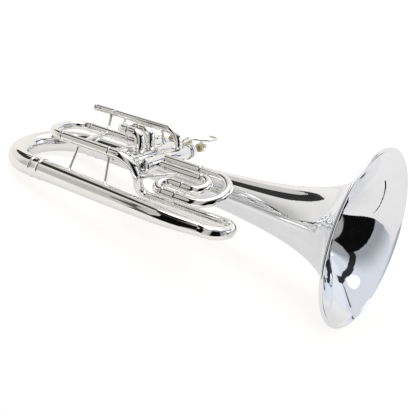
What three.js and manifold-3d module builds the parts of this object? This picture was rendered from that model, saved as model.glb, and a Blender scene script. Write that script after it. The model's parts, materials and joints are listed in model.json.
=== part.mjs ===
// A bell-front marching euphonium with three piston valves, lying on its side as it does on a table.
// Lengths are millimetres. The instrument is laid out in its own axes: x runs forward along the bell
// axis and is zero just behind the bell rim, y runs from the valve bottoms to the finger buttons, and z
// points to the player's right. The last lines tip it over until the bell rim and the big bow meet the
// ground.

import * as THREE from 'three';
import { mergeVertices } from 'three/addons/utils/BufferGeometryUtils.js';
import Module from 'manifold-3d';

const wasm = await Module();
wasm.setup();

const unit = 1;
const V = (x, y, z) => new THREE.Vector3(x, y, z);

// Driving sizes

const seat = 0.3 * unit;              // gap left between soldered or touching pieces
const sheet = 0.9 * unit;             // wall of the drawn tubes
const mergeWithin = 1e-4 * unit;      // corners closer than this are one corner

const bell = {
  rim: 140 * unit,                    // radius at the rim
  front: 6.5 * unit,                  // where the rim lies
  end: -534 * unit,                   // joint with the big bow
  flareThroat: 33 * unit,             // how quickly the flare opens
  flarePowerShare: 0.72,
  bead: 2.6 * unit,                   // radius of the rolled rim
  beadDegrees: [-60, 0, 60, 120, 180],
  wall: 1.1 * unit,
  rings: 9,
};

const bow = {
  width: 149.5 * unit,                // bell axis to bottom branch
  start: -543 * unit,                 // where both legs begin to turn
  nearEnd: -523 * unit,
  nearRadius: 17.6 * unit,
  wall: 1.1 * unit,
  dropShare: 0.074,                   // how far the bottom branch sits to the left, per unit of width
};

const branch = {                      // the long tapered tube along the bottom
  kneeX: -245 * unit,
  knee: -157.5 * unit,
  kneeBend: 260 * unit,
  frontX: -190 * unit,
  front: -150.5 * unit,
  frontRadius: 10.9 * unit,
  rearX: -383 * unit,
  rearRadius: 16.4 * unit,
  middleX: -259 * unit,
  middleRadius: 13.8 * unit,
};

const ferrule = { width: 22 * unit, height: 1.2 * unit, edgeShare: 0.2, waistShare: 0.55 };

const frontBow = {
  start: -185 * unit,
  returnHeight: -98 * unit,
  returnSide: -12 * unit,
  endRadius: 9 * unit,
};

const valve = {
  side: 40.6 * unit,                  // valve line to the right of the bell axis, at height zero
  leanDegrees: 2.9,                   // the buttons lean to the right
  frontX: -340 * unit,                // third valve
  spacing: 29.5 * unit,
  casing: 11.5 * unit,                // outer radius
  casingWall: 1.2 * unit,
  bottom: -103 * unit,
  top: 13 * unit,
  fit: 0.3 * unit,                    // piston running clearance
  thread: 0.4 * unit,                 // depth of the casing's threads
  link: -46 * unit,                   // height of the tubes that join the valves
};

const cap = { radius: 12.7 * unit, depth: 14 * unit, floor: 2 * unit, overlap: 9 * unit, baseShare: 0.7 };
const topCap = {
  radius: 13.6 * unit,
  depth: 20 * unit,
  lap: 6 * unit,
  roof: 3 * unit,
  stemHole: 3.3 * unit,
  shoulderShare: 0.75,                // where the side starts to curve in
  crownShare: 0.8,
  tipShare: 0.45,
  roomShare: 0.8,                     // hollow under the roof, of the casing bore
  roomStartShare: 0.7,
};
const piston = { bottom: -87 * unit, top: -12 * unit, wall: 1.4 * unit, recess: 26 * unit };
const stem = { radius: 2.5 * unit, collar: 7 * unit, collarThick: 2 * unit, top: 49 * unit };
const button = { radius: 9.4 * unit, thick: 5 * unit, wall: 1 * unit, sleeve: 4 * unit, dish: 1.5 * unit };
const pearlDisc = { radius: 7.6 * unit, thick: 1.6 * unit, crownShare: 1.35, flatShare: 0.5 };
const coil = { radius: 6.5 * unit, wire: 0.8 * unit, turns: 6, perTurn: 7, sides: 3 };
const washer = { radius: 7.6 * unit, thick: 2.4 * unit };

const slideTube = {                   // all tuning slides
  sleeve: 8 * unit,                   // outer radius of a sleeve
  inner: 6.75 * unit,                 // outer radius of a slide leg, free to run in its sleeve
  crook: 7.5 * unit,                  // outer radius of a crook
  lap: 3 * unit,                      // how far a leg reaches into its crook
};
const band = { width: 4 * unit, height: 0.9 * unit };
const rod = { thin: 2.1 * unit, stout: 2.8 * unit, foot: 4.2 * unit, flareShare: 1.6 };

const mainSlide = {
  side: 46 * unit,
  lower: -122 * unit,
  upper: -38 * unit,
  lowerMouth: -502 * unit,
  upperMouth: -515 * unit,
  lowerEnd: -396 * unit,
  upperEnd: -428 * unit,
  tip: -545 * unit,                   // end of the crook, slide pushed home
  lowerBend: 42 * unit,
  upperBend: 28 * unit,
  grip: 44 * unit,                    // length of leg inside each sleeve
};

const neck = {                        // the curved tube from the tuning slide down to the return leg
  cornerX: -345 * unit,
  bend: 36 * unit,
  footX: -343 * unit,
  foot: -103 * unit,
  footBend: 17 * unit,
  endX: -317 * unit,
};

const lead = {
  side: 78 * unit,
  height: -18 * unit,
  radius: 5.6 * unit,
  endRadius: 6.8 * unit,
  mouthX: -525 * unit,
  receiver: 5.9 * unit,
  receiverRing: 0.9 * unit,
  receiverLength: 46 * unit,
  shankMouth: 5.1 * unit,
  shankEnd: 4.4 * unit,
  bend: 24 * unit,
};

const waterKey = {                    // on the left face of the main slide's crook
  fromX: 6.8 * unit,                  // nipple, ahead of the crook's end
  from: -106 * unit,
  toX: -0.8 * unit,                   // finger pad, ahead of the crook's end
  to: -66 * unit,
  hingeShare: 0.45,
  side: 31 * unit,                    // centre line of the lever
  lever: 1.4 * unit,
  nipple: 3 * unit,
  nippleBore: 1.2 * unit,
  cork: 3.2 * unit,
  corkThick: 2.2 * unit,
  cup: 3.8 * unit,
  pad: 5 * unit,
  padThick: 1.6 * unit,
  pin: 1 * unit,
  barrel: 2.8 * unit,
  barrelHalf: 3 * unit,
  post: 1.6 * unit,
  postAt: 5 * unit,
  postPast: 2 * unit,
  postRootShare: 0.6,
};

const second = {
  side: 76 * unit,
  low: -82 * unit,
  high: -56 * unit,
  mouth: -398 * unit,
  tip: -416 * unit,
  bend: 12 * unit,
  grip: 16 * unit,
};
const knob = {                        // on the crook of the second slide
  base: 1.2 * unit,
  neck: 1.6 * unit,
  head: 2.6 * unit,
  height: 15.5 * unit,
  cap: 4 * unit,
  capStartShare: 0.7,
  capEndShare: 0.2,
};

const first = {                       // passes inside the rear leadpipe post when it is pulled
  side: 52.5 * unit,
  low: -21 * unit,
  high: -2.5 * unit,
  mouth: -438 * unit,
  tip: -458 * unit,
  bend: 11 * unit,
  grip: 24 * unit,
};

const third = {                       // the spiral on the right side
  high: -57 * unit,
  tiltDegrees: 20.8,
  outerBend: 37 * unit,
  leftBend: 13 * unit,
  innerBend: 15.5 * unit,
  tip: -194 * unit,
  leftTurn: -286 * unit,
  innerTurn: -246 * unit,
  joint: -266 * unit,                 // inner bow to left bow
  mouth: -262 * unit,
  lowerMouth: -256 * unit,
  grip: 28 * unit,
};

const knuckle = { bend: 14 * unit, runShare: 1.4 };

const brace = {
  slideLowX: -463 * unit,
  slideHighX: -474 * unit,
  rearTopX: -461 * unit,
  rearFootX: -460 * unit,
  frontTopX: -397 * unit,
  frontFootX: -376 * unit,
  leadTopX: -488 * unit,
  leadFootX: -477 * unit,
  leadFrontX: -376 * unit,
  bellX: -292 * unit,
  neckShare: 0.5,
  neckTopX: -281 * unit,
};

const hook = {
  radius: 2.1 * unit,
  side: 60 * unit,
  foot: -4 * unit,
  rearX: -344 * unit,
  rear: 23 * unit,
  frontX: -319 * unit,
  front: 45 * unit,
  tip: 68 * unit,
  tipX: -338 * unit,
  bend: 7 * unit,
  sides: 6,
};

const restRollDegrees = -5.03;
const steepestDegrees = -25;          // the rest pitch lies between this and zero

const arcStep = 22.5;                 // degrees between rings round a bend
const steepShare = 0.9;               // a direction with more than this along z counts as running along z
const pinSides = 8;
const fineSides = 10;
const valveSides = 12;
const wideSides = 16;
const bellSides = 36;

// Solids

// Merges shared corners, drops slivers and turns the faces outwards.
function weld(geometry) {
  geometry.deleteAttribute('normal');
  geometry.deleteAttribute('uv');
  const merged = mergeVertices(geometry, mergeWithin);
  const index = merged.index.array;
  const kept = [];
  for (let i = 0; i < index.length; i += 3) {
    const [a, b, c] = [index[i], index[i + 1], index[i + 2]];
    if (a !== b && b !== c && c !== a) kept.push(a, b, c);
  }
  merged.setIndex(kept);
  const position = merged.attributes.position;
  const [p, q, r] = [V(), V(), V()];
  let volume = 0;
  for (let i = 0; i < kept.length; i += 3) {
    p.fromBufferAttribute(position, kept[i]);
    q.fromBufferAttribute(position, kept[i + 1]);
    r.fromBufferAttribute(position, kept[i + 2]);
    volume += p.dot(q.cross(r));
  }
  if (volume < 0) {
    for (let i = 0; i < kept.length; i += 3) [kept[i + 1], kept[i + 2]] = [kept[i + 2], kept[i + 1]];
    merged.setIndex(kept);
  }
  return merged;
}

function toSolid(geometry) {
  return new wasm.Manifold(new wasm.Mesh({
    numProp: 3,
    vertProperties: new Float32Array(geometry.attributes.position.array),
    triVerts: new Uint32Array(geometry.index.array),
  }));
}

function fromSolid(solid) {
  const mesh = solid.getMesh();
  const geometry = new THREE.BufferGeometry();
  geometry.setAttribute('position', new THREE.BufferAttribute(new Float32Array(mesh.vertProperties), 3));
  geometry.setIndex(new THREE.BufferAttribute(new Uint32Array(mesh.triVerts), 1));
  return geometry;
}

// What is left of a body once the cutters are taken away: its largest piece.
function cut(body, ...cutters) {
  const left = cutters.reduce((solid, cutter) => solid.subtract(toSolid(cutter)), toSolid(body));
  return fromSolid(left.decompose().reduce((a, b) => (a.volume() < b.volume() ? b : a)));
}
const join = (body, ...more) => fromSolid(more.reduce((s, t) => s.add(toSolid(t)), toSolid(body)));

// A path through corners, each rounded with its own radius: stations with a place and a direction.
function route(corners) {
  const stations = [];
  const first = corners[0].at;
  stations.push({ at: first.clone(), along: corners[1].at.clone().sub(first).normalize() });
  for (let i = 1; i < corners.length - 1; i++) {
    const { at, bend } = corners[i];
    const back = corners[i - 1].at.clone().sub(at).normalize();
    const ahead = corners[i + 1].at.clone().sub(at).normalize();
    const opening = back.angleTo(ahead);
    const centre = back.clone().add(ahead).normalize().multiplyScalar(bend / Math.sin(opening / 2)).add(at);
    const start = back.clone().multiplyScalar(bend / Math.tan(opening / 2)).add(at);
    const out = start.clone().sub(centre).normalize();
    const forward = back.clone().negate();
    const turn = Math.PI - opening;
    const steps = Math.max(1, Math.ceil(THREE.MathUtils.radToDeg(turn) / arcStep));
    for (let k = 0; k <= steps; k++) {
      const angle = turn * k / steps;
      const place = centre.clone()
        .addScaledVector(out, bend * Math.cos(angle))
        .addScaledVector(forward, bend * Math.sin(angle));
      const along = forward.clone().multiplyScalar(Math.cos(angle)).addScaledVector(out, -Math.sin(angle));
      stations.push({ at: place, along });
    }
  }
  const last = corners[corners.length - 1].at;
  const before = corners[corners.length - 2].at;
  stations.push({ at: last.clone(), along: last.clone().sub(before).normalize() });
  return stations.filter((s, i) => i === 0 || s.at.distanceTo(stations[i - 1].at) > seat);
}

// Turns the end faces of a path square to the bell axis, where it meets the next tube.
function squareEnds(stations) {
  for (const { along } of [stations[0], stations[stations.length - 1]]) along.set(Math.sign(along.x), 0, 0);
  return stations;
}

// A half turn in the plane of two directions, with straight ends.
function hairpin(start, ahead, across, radius, leadIn, leadOut) {
  const stations = [{ at: start.clone().addScaledVector(ahead, -leadIn), along: ahead.clone() }];
  const steps = Math.ceil(180 / arcStep);
  for (let k = 0; k <= steps; k++) {
    const angle = Math.PI * k / steps;
    const at = start.clone()
      .addScaledVector(ahead, radius * Math.sin(angle))
      .addScaledVector(across, radius * (1 - Math.cos(angle)));
    const along = ahead.clone().multiplyScalar(Math.cos(angle)).addScaledVector(across, Math.sin(angle));
    stations.push({ at, along });
  }
  const last = stations[stations.length - 1];
  stations.push({ at: last.at.clone().addScaledVector(last.along, leadOut), along: last.along.clone() });
  return stations.filter((s, i) => i === 0 || s.at.distanceTo(stations[i - 1].at) > seat);
}

// A drawn tube along stations. The radius runs evenly from one end to the other, or is given by place.
function tube(stations, radius, { end = radius, wall = sheet, sides = fineSides } = {}) {
  const lengths = [0];
  for (let i = 1; i < stations.length; i++) {
    lengths.push(lengths[i - 1] + stations[i].at.distanceTo(stations[i - 1].at));
  }
  const total = lengths[lengths.length - 1];
  const side = Math.abs(stations[0].along.z) < steepShare ? V(0, 0, 1) : V(0, 1, 0);
  const positions = [];
  const rings = stations.map(({ at, along }, i) => {
    side.addScaledVector(along, -side.dot(along)).normalize();
    const up = along.clone().cross(side);
    const outer = radius instanceof Function ? radius(at) : radius + (end - radius) * lengths[i] / total;
    const base = positions.length / 3;
    for (const reach of [outer, outer - wall]) {
      for (let k = 0; k < sides; k++) {
        const angle = 2 * Math.PI * k / sides;
        const place = at.clone()
          .addScaledVector(side, reach * Math.cos(angle))
          .addScaledVector(up, reach * Math.sin(angle));
        positions.push(place.x, place.y, place.z);
      }
    }
    return base;
  });
  const index = [];
  const quad = (a, b, c, d) => index.push(a, b, c, a, c, d);
  for (let k = 0; k < sides; k++) {
    const next = (k + 1) % sides;
    for (let i = 0; i + 1 < rings.length; i++) {
      const [a, b] = [rings[i], rings[i + 1]];
      quad(a + k, a + next, b + next, b + k);
      quad(a + sides + next, a + sides + k, b + sides + k, b + sides + next);
    }
    const [mouth, tail] = [rings[0], rings[rings.length - 1]];
    quad(mouth + next, mouth + k, mouth + sides + k, mouth + sides + next);
    quad(tail + k, tail + next, tail + sides + next, tail + sides + k);
  }
  const geometry = new THREE.BufferGeometry();
  geometry.setAttribute('position', new THREE.Float32BufferAttribute(positions, 3));
  geometry.setIndex(index);
  return weld(geometry);
}

// A turned piece between two points: profile rows are distance from the first point, and radius.
function turned(from, to, profile, sides = fineSides, closed = false) {
  const points = profile.map(([along, radius]) => new THREE.Vector2(radius, along));
  if (closed) points.push(points[0].clone());
  const geometry = weld(new THREE.LatheGeometry(points, sides));
  const axis = to.clone().sub(from).normalize();
  geometry.applyQuaternion(new THREE.Quaternion().setFromUnitVectors(V(0, 1, 0), axis));
  geometry.translate(from.x, from.y, from.z);
  return geometry;
}

const bar = (from, to, radius, sides = fineSides) => {
  const length = from.distanceTo(to);
  return turned(from, to, [[0, 0], [0, radius], [length, radius], [length, 0]], sides);
};

// The corner radius of a prism whose flats clear a round piece.
const around = (radius, sides) => (radius + seat) / Math.cos(Math.PI / sides);

// A ferrule round a tube: a short collar with a raised bead at each end.
function collar(centre, axis, inner) {
  const { width, height } = ferrule;
  const from = centre.clone().addScaledVector(axis, -width / 2);
  const to = centre.clone().addScaledVector(axis, width / 2);
  const edge = width * ferrule.edgeShare;
  const bore = around(inner, wideSides);
  const waist = bore + height * ferrule.waistShare;
  const crest = bore + height;
  const profile = [
    [0, bore], [0, crest], [edge, crest], [edge, waist], [width - edge, waist], [width - edge, crest],
    [width, crest], [width, bore],
  ];
  return turned(from, to, profile, wideSides, true);
}

// Finishes

const finish = (color, roughness, metalness) =>
  new THREE.MeshStandardMaterial({ color, roughness, metalness });
const silver = () => finish(0xd9dade, 0.08, 1);
const nickel = () => finish(0xc4c4c2, 0.18, 1);
const spring = () => finish(0x9a9a9c, 0.3, 1);
const pearl = () => finish(0xe9e2cc, 0.25, 0);
const cork = () => finish(0x9c7248, 0.9, 0);
const felt = () => finish(0xf2efe6, 0.95, 0);

const instrument = new THREE.Group();
const add = (name, geometry, material) => {
  const mesh = new THREE.Mesh(geometry, material);
  mesh.name = name;
  instrument.add(mesh);
  return mesh;
};

const forward = V(1, 0, 0);
const upward = V(0, 1, 0);
const right = V(0, 0, 1);

// Bell

const flare = x => bell.rim * (1 + (bell.front - x) / bell.flareThroat) ** -bell.flarePowerShare;
const bellTail = V(bell.end, 0, 0);
const bellMouth = V(bell.front, 0, 0);
const bellLength = bell.front - bell.end;
const bellReach = 1 + bellLength / bell.flareThroat;
const bellPlaces = [...Array(bell.rings).keys()].map(i =>
  bellLength - bell.flareThroat * (bellReach ** ((i + 1) / bell.rings) - 1));
const bellOuter = bellPlaces.map(along => [along, flare(bell.end + along) + bell.wall]).reverse();
const bellInner = bellPlaces.map(along => [along, flare(bell.end + along)]);
const bellBead = bell.beadDegrees.map(degrees => {
  const angle = THREE.MathUtils.degToRad(degrees);
  return [bellLength - bell.bead * (1 - Math.sin(angle)), bell.rim - bell.bead + bell.bead * Math.cos(angle)];
});
const bellShape = turned(bellTail, bellMouth, [...bellOuter, ...bellBead, ...bellInner], bellSides, true);
const bellMesh = add('bell', bellShape, silver());

// Big bow and bottom branch

const bowAcross = V(0, -1, -bow.dropShare).normalize();
const bowFar = V(bow.start, 0, 0);
const bowNear = bowFar.clone().addScaledVector(bowAcross, bow.width);
const tailRadius = flare(bell.end) + bell.wall;
const bowStations = hairpin(bowFar, forward.clone().negate(), bowAcross, bow.width / 2,
  bell.end - bow.start - seat, bow.nearEnd - bow.start);
const bowShape = tube(bowStations, tailRadius, { end: bow.nearRadius, wall: bow.wall, sides: wideSides });
const bowMesh = add('main_bow', bowShape, silver());
const nearEnd = V(bow.nearEnd, bowNear.y, bowNear.z);

const branchKnee = V(branch.kneeX, branch.knee, nearEnd.z);
const branchFront = V(branch.frontX, branch.front, nearEnd.z);
const branchStations = squareEnds(route([
  { at: nearEnd.clone().addScaledVector(forward, seat) },
  { at: V(branch.rearX, (nearEnd.y + branch.knee) / 2, nearEnd.z), bend: branch.kneeBend },
  { at: branchKnee, bend: branch.kneeBend },
  { at: branchFront },
]));
const branchTaper = [
  [bow.nearEnd, bow.nearRadius],
  [branch.rearX, branch.rearRadius],
  [branch.middleX, branch.middleRadius],
  [branch.frontX, branch.frontRadius],
];
const branchRadius = ({ x }) => {
  const row = Math.max(1, branchTaper.findIndex(([end]) => x <= end + seat));
  const [[x0, r0], [x1, r1]] = branchTaper.slice(row - 1, row + 1);
  return r0 + (r1 - r0) * (x - x0) / (x1 - x0);
};
add('bottom_branch', tube(branchStations, branchRadius, { wall: bow.wall, sides: wideSides }), silver());

add('big_bow_ferrule', collar(nearEnd, forward, bow.nearRadius), silver());
add('bell_ferrule', collar(bellTail, forward, flare(bell.end + ferrule.width / 2) + bell.wall), silver());

// Front bow and return leg

const frontFrom = V(frontBow.start, branchFront.y, branchFront.z);
const returnFront = V(branch.frontX, frontBow.returnHeight, frontBow.returnSide);
const frontAcross = returnFront.clone().sub(branchFront);
const frontSpan = frontAcross.length();
const frontStations = hairpin(frontFrom, forward, frontAcross.clone().normalize(), frontSpan / 2,
  frontBow.start - branch.frontX - seat, frontBow.start - branch.frontX);
add('front_bow', tube(frontStations, branch.frontRadius, { end: frontBow.endRadius, sides: wideSides }),
  silver());
const neckFoot = V(neck.footX, neck.foot, returnFront.z);
const neckEnd = V(neck.endX, neck.foot, returnFront.z);
add('return_branch', tube(squareEnds(route([
  { at: returnFront.clone().addScaledVector(forward, -seat) },
  { at: neckEnd.clone().addScaledVector(forward, seat) },
])), frontBow.endRadius, { end: slideTube.sleeve }), silver());

// Curved neck between the tuning slide and the return leg

const mainLow = x => V(x, mainSlide.lower, mainSlide.side);
const mainHigh = x => V(x, mainSlide.upper, mainSlide.side);
add('neck', tube(route([
  { at: mainLow(mainSlide.lowerEnd + seat) },
  { at: mainLow(neck.cornerX), bend: neck.bend },
  { at: neckFoot, bend: neck.footBend },
  { at: neckEnd },
]), slideTube.sleeve), silver());

// Valves

const valveX = [2, 1, 0].map(i => valve.frontX - i * valve.spacing);
const bore = valve.casing - valve.casingWall;
const threaded = valve.casing - valve.thread;

const bottomCapBase = valve.bottom - (cap.depth - cap.overlap);
const topCapBase = valve.top - topCap.lap;
const topCapEnd = topCapBase + topCap.depth;
const stemCollarTop = topCapEnd - topCap.roof - seat;
const valveLean = THREE.MathUtils.degToRad(valve.leanDegrees);
const onValve = (i, y) => V(valveX[i], y * Math.cos(valveLean), valve.side + y * Math.sin(valveLean));

function casingPiece(i) {
  const length = valve.top - valve.bottom;
  return turned(onValve(i, valve.bottom), onValve(i, valve.top), [
    [0, bore], [0, threaded], [cap.overlap, threaded], [cap.overlap, valve.casing],
    [length - topCap.lap, valve.casing], [length - topCap.lap, threaded], [length, threaded], [length, bore],
  ], valveSides, true);
}

function bottomCapPiece(i) {
  const inner = threaded + seat;
  return turned(onValve(i, bottomCapBase), onValve(i, valve.bottom), [
    [0, 0], [0, cap.radius * cap.baseShare], [cap.floor, cap.radius], [cap.depth - seat, cap.radius],
    [cap.depth - seat, inner], [cap.floor, inner], [cap.floor, 0],
  ], valveSides);
}

function topCapPiece(i) {
  const inner = threaded + seat;
  const shoulder = topCap.depth - topCap.roof;
  const crown = topCap.depth - seat;
  return turned(onValve(i, topCapBase + seat), onValve(i, topCapEnd), [
    [0, inner], [0, topCap.radius], [shoulder * topCap.shoulderShare, topCap.radius],
    [shoulder, topCap.radius * topCap.crownShare], [crown, topCap.radius * topCap.tipShare],
    [crown, topCap.stemHole], [shoulder - seat, topCap.stemHole],
    [shoulder - seat, bore * topCap.roomShare], [shoulder * topCap.roomStartShare, inner],
  ], valveSides, true);
}

function pistonPiece(i) {
  const r = bore - valve.fit;
  const length = piston.top - piston.bottom;
  const reach = stem.top - piston.bottom;
  const ring = stemCollarTop - piston.bottom;
  return turned(onValve(i, piston.bottom), onValve(i, stem.top), [
    [piston.recess, 0], [piston.recess, r - piston.wall], [0, r - piston.wall], [0, r], [length, r],
    [length, stem.radius], [ring - stem.collarThick, stem.radius], [ring - stem.collarThick, stem.collar],
    [ring, stem.collar], [ring, stem.radius], [reach, stem.radius], [reach, 0],
  ], valveSides);
}

// A coil between the bottom cap and the hollow of the piston.
function springPiece(i) {
  const base = bottomCapBase + cap.floor + seat + coil.wire;
  const top = piston.bottom + piston.recess - seat - coil.wire;
  const [foot, head] = [onValve(i, base), onValve(i, top)];
  const axis = head.clone().sub(foot).normalize();
  const side = axis.clone().cross(forward);
  const stations = [];
  const steps = coil.turns * coil.perTurn;
  const climb = (top - base) / (coil.turns * 2 * Math.PI * coil.radius);
  for (let k = 0; k <= steps; k++) {
    const angle = 2 * Math.PI * k / coil.perTurn;
    const at = foot.clone().lerp(head, k / steps)
      .addScaledVector(forward, coil.radius * Math.cos(angle))
      .addScaledVector(side, coil.radius * Math.sin(angle));
    const along = forward.clone().multiplyScalar(-Math.sin(angle))
      .addScaledVector(side, Math.cos(angle)).addScaledVector(axis, climb).normalize();
    stations.push({ at, along });
  }
  return wire(stations, coil.wire, coil.sides);
}

// A solid wire along stations.
function wire(stations, radius, sides) {
  const side = V(0, 1, 0);
  const positions = [];
  for (const { at, along } of stations) {
    side.addScaledVector(along, -side.dot(along)).normalize();
    const up = along.clone().cross(side);
    for (let k = 0; k < sides; k++) {
      const angle = 2 * Math.PI * k / sides;
      const place = at.clone()
        .addScaledVector(side, radius * Math.cos(angle))
        .addScaledVector(up, radius * Math.sin(angle));
      positions.push(place.x, place.y, place.z);
    }
  }
  const index = [];
  for (let i = 0; i + 1 < stations.length; i++) {
    for (let k = 0; k < sides; k++) {
      const [a, b] = [i * sides + k, i * sides + (k + 1) % sides];
      index.push(a, b, b + sides, a, b + sides, a + sides);
    }
  }
  const last = (stations.length - 1) * sides;
  for (let k = 1; k + 1 < sides; k++) {
    index.push(0, k + 1, k);
    index.push(last, last + k, last + k + 1);
  }
  const geometry = new THREE.BufferGeometry();
  geometry.setAttribute('position', new THREE.Float32BufferAttribute(positions, 3));
  geometry.setIndex(index);
  return weld(geometry);
}

function buttonPiece(i) {
  const hole = stem.radius + seat;
  const top = button.sleeve + button.thick;
  const dish = top - button.dish;
  return turned(onValve(i, stem.top - button.sleeve), onValve(i, stem.top + button.thick), [
    [0, hole], [0, hole + button.wall], [button.sleeve - button.wall, hole + button.wall],
    [button.sleeve + button.wall, button.radius], [top, button.radius], [top, pearlDisc.radius + seat],
    [dish, pearlDisc.radius + seat], [dish, 0], [button.sleeve + seat, 0], [button.sleeve + seat, hole],
  ], valveSides, true);
}

function feltPiece(i) {
  const top = stem.top - button.sleeve - seat;
  const hole = stem.radius + seat;
  const { radius, thick } = washer;
  return turned(onValve(i, top - thick), onValve(i, top), [
    [0, hole], [0, radius], [thick, radius], [thick, hole],
  ], valveSides, true);
}

function pearlPiece(i) {
  const base = stem.top + button.thick - button.dish + seat;
  const { radius, thick } = pearlDisc;
  const crown = thick * pearlDisc.crownShare;
  return turned(onValve(i, base), onValve(i, base + crown), [
    [0, 0], [0, radius], [thick, radius], [crown, radius * pearlDisc.flatShare], [crown, 0],
  ], valveSides);
}

[0, 1, 2].forEach(i => {
  const n = i + 1;
  add(`valve_casing_${n}`, casingPiece(i), silver());
  add(`bottom_cap_${n}`, bottomCapPiece(i), silver());
  add(`top_cap_${n}`, topCapPiece(i), silver());
  add(`piston_${n}`, pistonPiece(i), nickel());
  add(`valve_spring_${n}`, springPiece(i), spring());
  add(`finger_button_${n}`, buttonPiece(i), silver());
  add(`pearl_${n}`, pearlPiece(i), pearl());
  add(`button_felt_${n}`, feltPiece(i), felt());
});

// Sleeves, crooks and struts

// A sleeve with a raised band at each place given.
function banded(stations, radius, places) {
  const rings = places.map(({ at, along }) => {
    const from = at.clone().addScaledVector(along, -band.width / 2);
    const to = at.clone().addScaledVector(along, band.width / 2);
    const inner = radius - sheet / 2;
    const outer = radius + band.height;
    const profile = [[0, inner], [0, outer], [band.width, outer], [band.width, inner]];
    return turned(from, to, profile, fineSides, true);
  });
  return join(tube(stations, radius), ...rings);
}

const straight = (from, to) => route([{ at: from }, { at: to }]);
const onAxis = (at, along) => ({ at, along });

const casingCutter = i => bar(onValve(i, valve.bottom), onValve(i, valve.top),
  valve.casing + seat / Math.cos(Math.PI / valveSides), valveSides);

// A tuning slide: a crook between two legs that run into their sleeves. Each line has its mouth and bend.
function slide(tip, lines, grip) {
  const [from, to] = lines;
  const inward = Math.sign(from.mouth - tip);
  const at = (line, x) => V(x, line.at.y, line.at.z);
  const crook = route([
    { at: at(from, from.mouth - inward * seat) },
    { at: at(from, tip), bend: from.bend },
    { at: at(to, tip), bend: to.bend },
    { at: at(to, to.mouth - inward * seat) },
  ]);
  const leg = line => {
    const root = at(line, line.mouth - inward * (seat + slideTube.lap));
    return tube(straight(root, at(line, line.mouth + inward * grip)), slideTube.inner);
  };
  return join(tube(crook, slideTube.crook), leg(from), leg(to));
}

// A strut between two centre lines, with flared feet, cut back to what it is soldered to.
function strut(from, to, radius, foot, cutters) {
  const length = from.distanceTo(to);
  const clear = slideTube.sleeve;
  const slim = clear + foot * rod.flareShare;
  return cut(turned(from, to, [
    [0, 0], [0, foot], [clear, foot], [slim, radius], [length - slim, radius],
    [length - clear, foot], [length, foot], [length, 0],
  ]), ...cutters);
}

const coat = (from, to, radius) => bar(from, to, around(radius, wideSides), wideSides);

// Main tuning slide

const lowMouth = mainLow(mainSlide.lowerMouth);
const highMouth = mainHigh(mainSlide.upperMouth);
add('main_slide_sleeve_lower', banded(straight(lowMouth, mainLow(mainSlide.lowerEnd)), slideTube.sleeve, [
  onAxis(mainLow(mainSlide.lowerMouth + band.width / 2), forward),
  onAxis(mainLow(mainSlide.lowerEnd - band.width / 2), forward),
]), silver());
{
  const port = onValve(0, mainSlide.upper);
  const corner = mainHigh(valveX[0] - (mainSlide.side - valve.side) * knuckle.runShare);
  const sleeve = banded(route([{ at: highMouth }, { at: corner, bend: knuckle.bend }, { at: port }]),
    slideTube.sleeve, [
      onAxis(mainHigh(mainSlide.upperMouth + band.width / 2), forward),
      onAxis(mainHigh(mainSlide.upperEnd), forward),
    ]);
  add('main_slide_sleeve_upper', cut(sleeve, casingCutter(0)), silver());
}

// The water key on the left face of the crook: a nipple closed by a cork on a hinged lever.
const keyFoot = V(mainSlide.tip + waterKey.fromX, waterKey.from, waterKey.side);
const keyHead = V(mainSlide.tip + waterKey.toX, waterKey.to, waterKey.side);
const pinLine = keyHead.clone().sub(keyFoot).normalize().cross(right);
const keyHinge = keyFoot.clone().lerp(keyHead, waterKey.hingeShare);
const crookFace = mainSlide.side - slideTube.crook;
const corkTop = waterKey.side + waterKey.lever + waterKey.padThick / 2 + seat + waterKey.corkThick;
{
  const at = (place, z) => place.clone().setZ(z);
  const nippleLength = crookFace + sheet - corkTop - seat;
  const nipple = turned(at(keyFoot, crookFace + sheet), at(keyFoot, corkTop + seat), [
    [0, waterKey.nippleBore], [0, waterKey.nipple],
    [nippleLength, waterKey.nipple], [nippleLength, waterKey.nippleBore],
  ], fineSides, true);
  const postRoot = mainSlide.side - slideTube.crook * waterKey.postRootShare;
  const posts = [-1, 1].map(way => {
    const place = keyHinge.clone().addScaledVector(pinLine, way * waterKey.postAt);
    return bar(at(place, postRoot), at(place, waterKey.side - waterKey.postPast), waterKey.post, pinSides);
  });
  const pin = bar(keyHinge.clone().addScaledVector(pinLine, -waterKey.postAt),
    keyHinge.clone().addScaledVector(pinLine, waterKey.postAt), waterKey.pin, pinSides);
  const crook = slide(mainSlide.tip, [
    { at: lowMouth, mouth: mainSlide.lowerMouth, bend: mainSlide.lowerBend },
    { at: highMouth, mouth: mainSlide.upperMouth, bend: mainSlide.upperBend },
  ], mainSlide.grip);
  add('main_tuning_slide', join(crook, nipple, ...posts, pin), silver());

  const end = way => keyHinge.clone().addScaledVector(pinLine, way * waterKey.barrelHalf);
  const barrel = bar(end(-1), end(1), waterKey.barrel);
  const pinHole = bar(end(-2), end(2), waterKey.pin + seat);
  const arm = bar(keyFoot, keyHead, waterKey.lever, pinSides);
  const half = waterKey.padThick / 2;
  const plate = (place, radius, lift) =>
    bar(at(place, waterKey.side + lift - half), at(place, waterKey.side + lift + half), radius);
  const pad = plate(keyHead, waterKey.pad, 0);
  const cup = plate(keyFoot, waterKey.cup, waterKey.lever);
  add('water_key_lever', cut(join(barrel, arm, pad, cup), pinHole), nickel());
  const stopper = bar(at(keyFoot, corkTop - waterKey.corkThick), at(keyFoot, corkTop), waterKey.cork);
  add('water_key_cork', stopper, cork());
}

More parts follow.
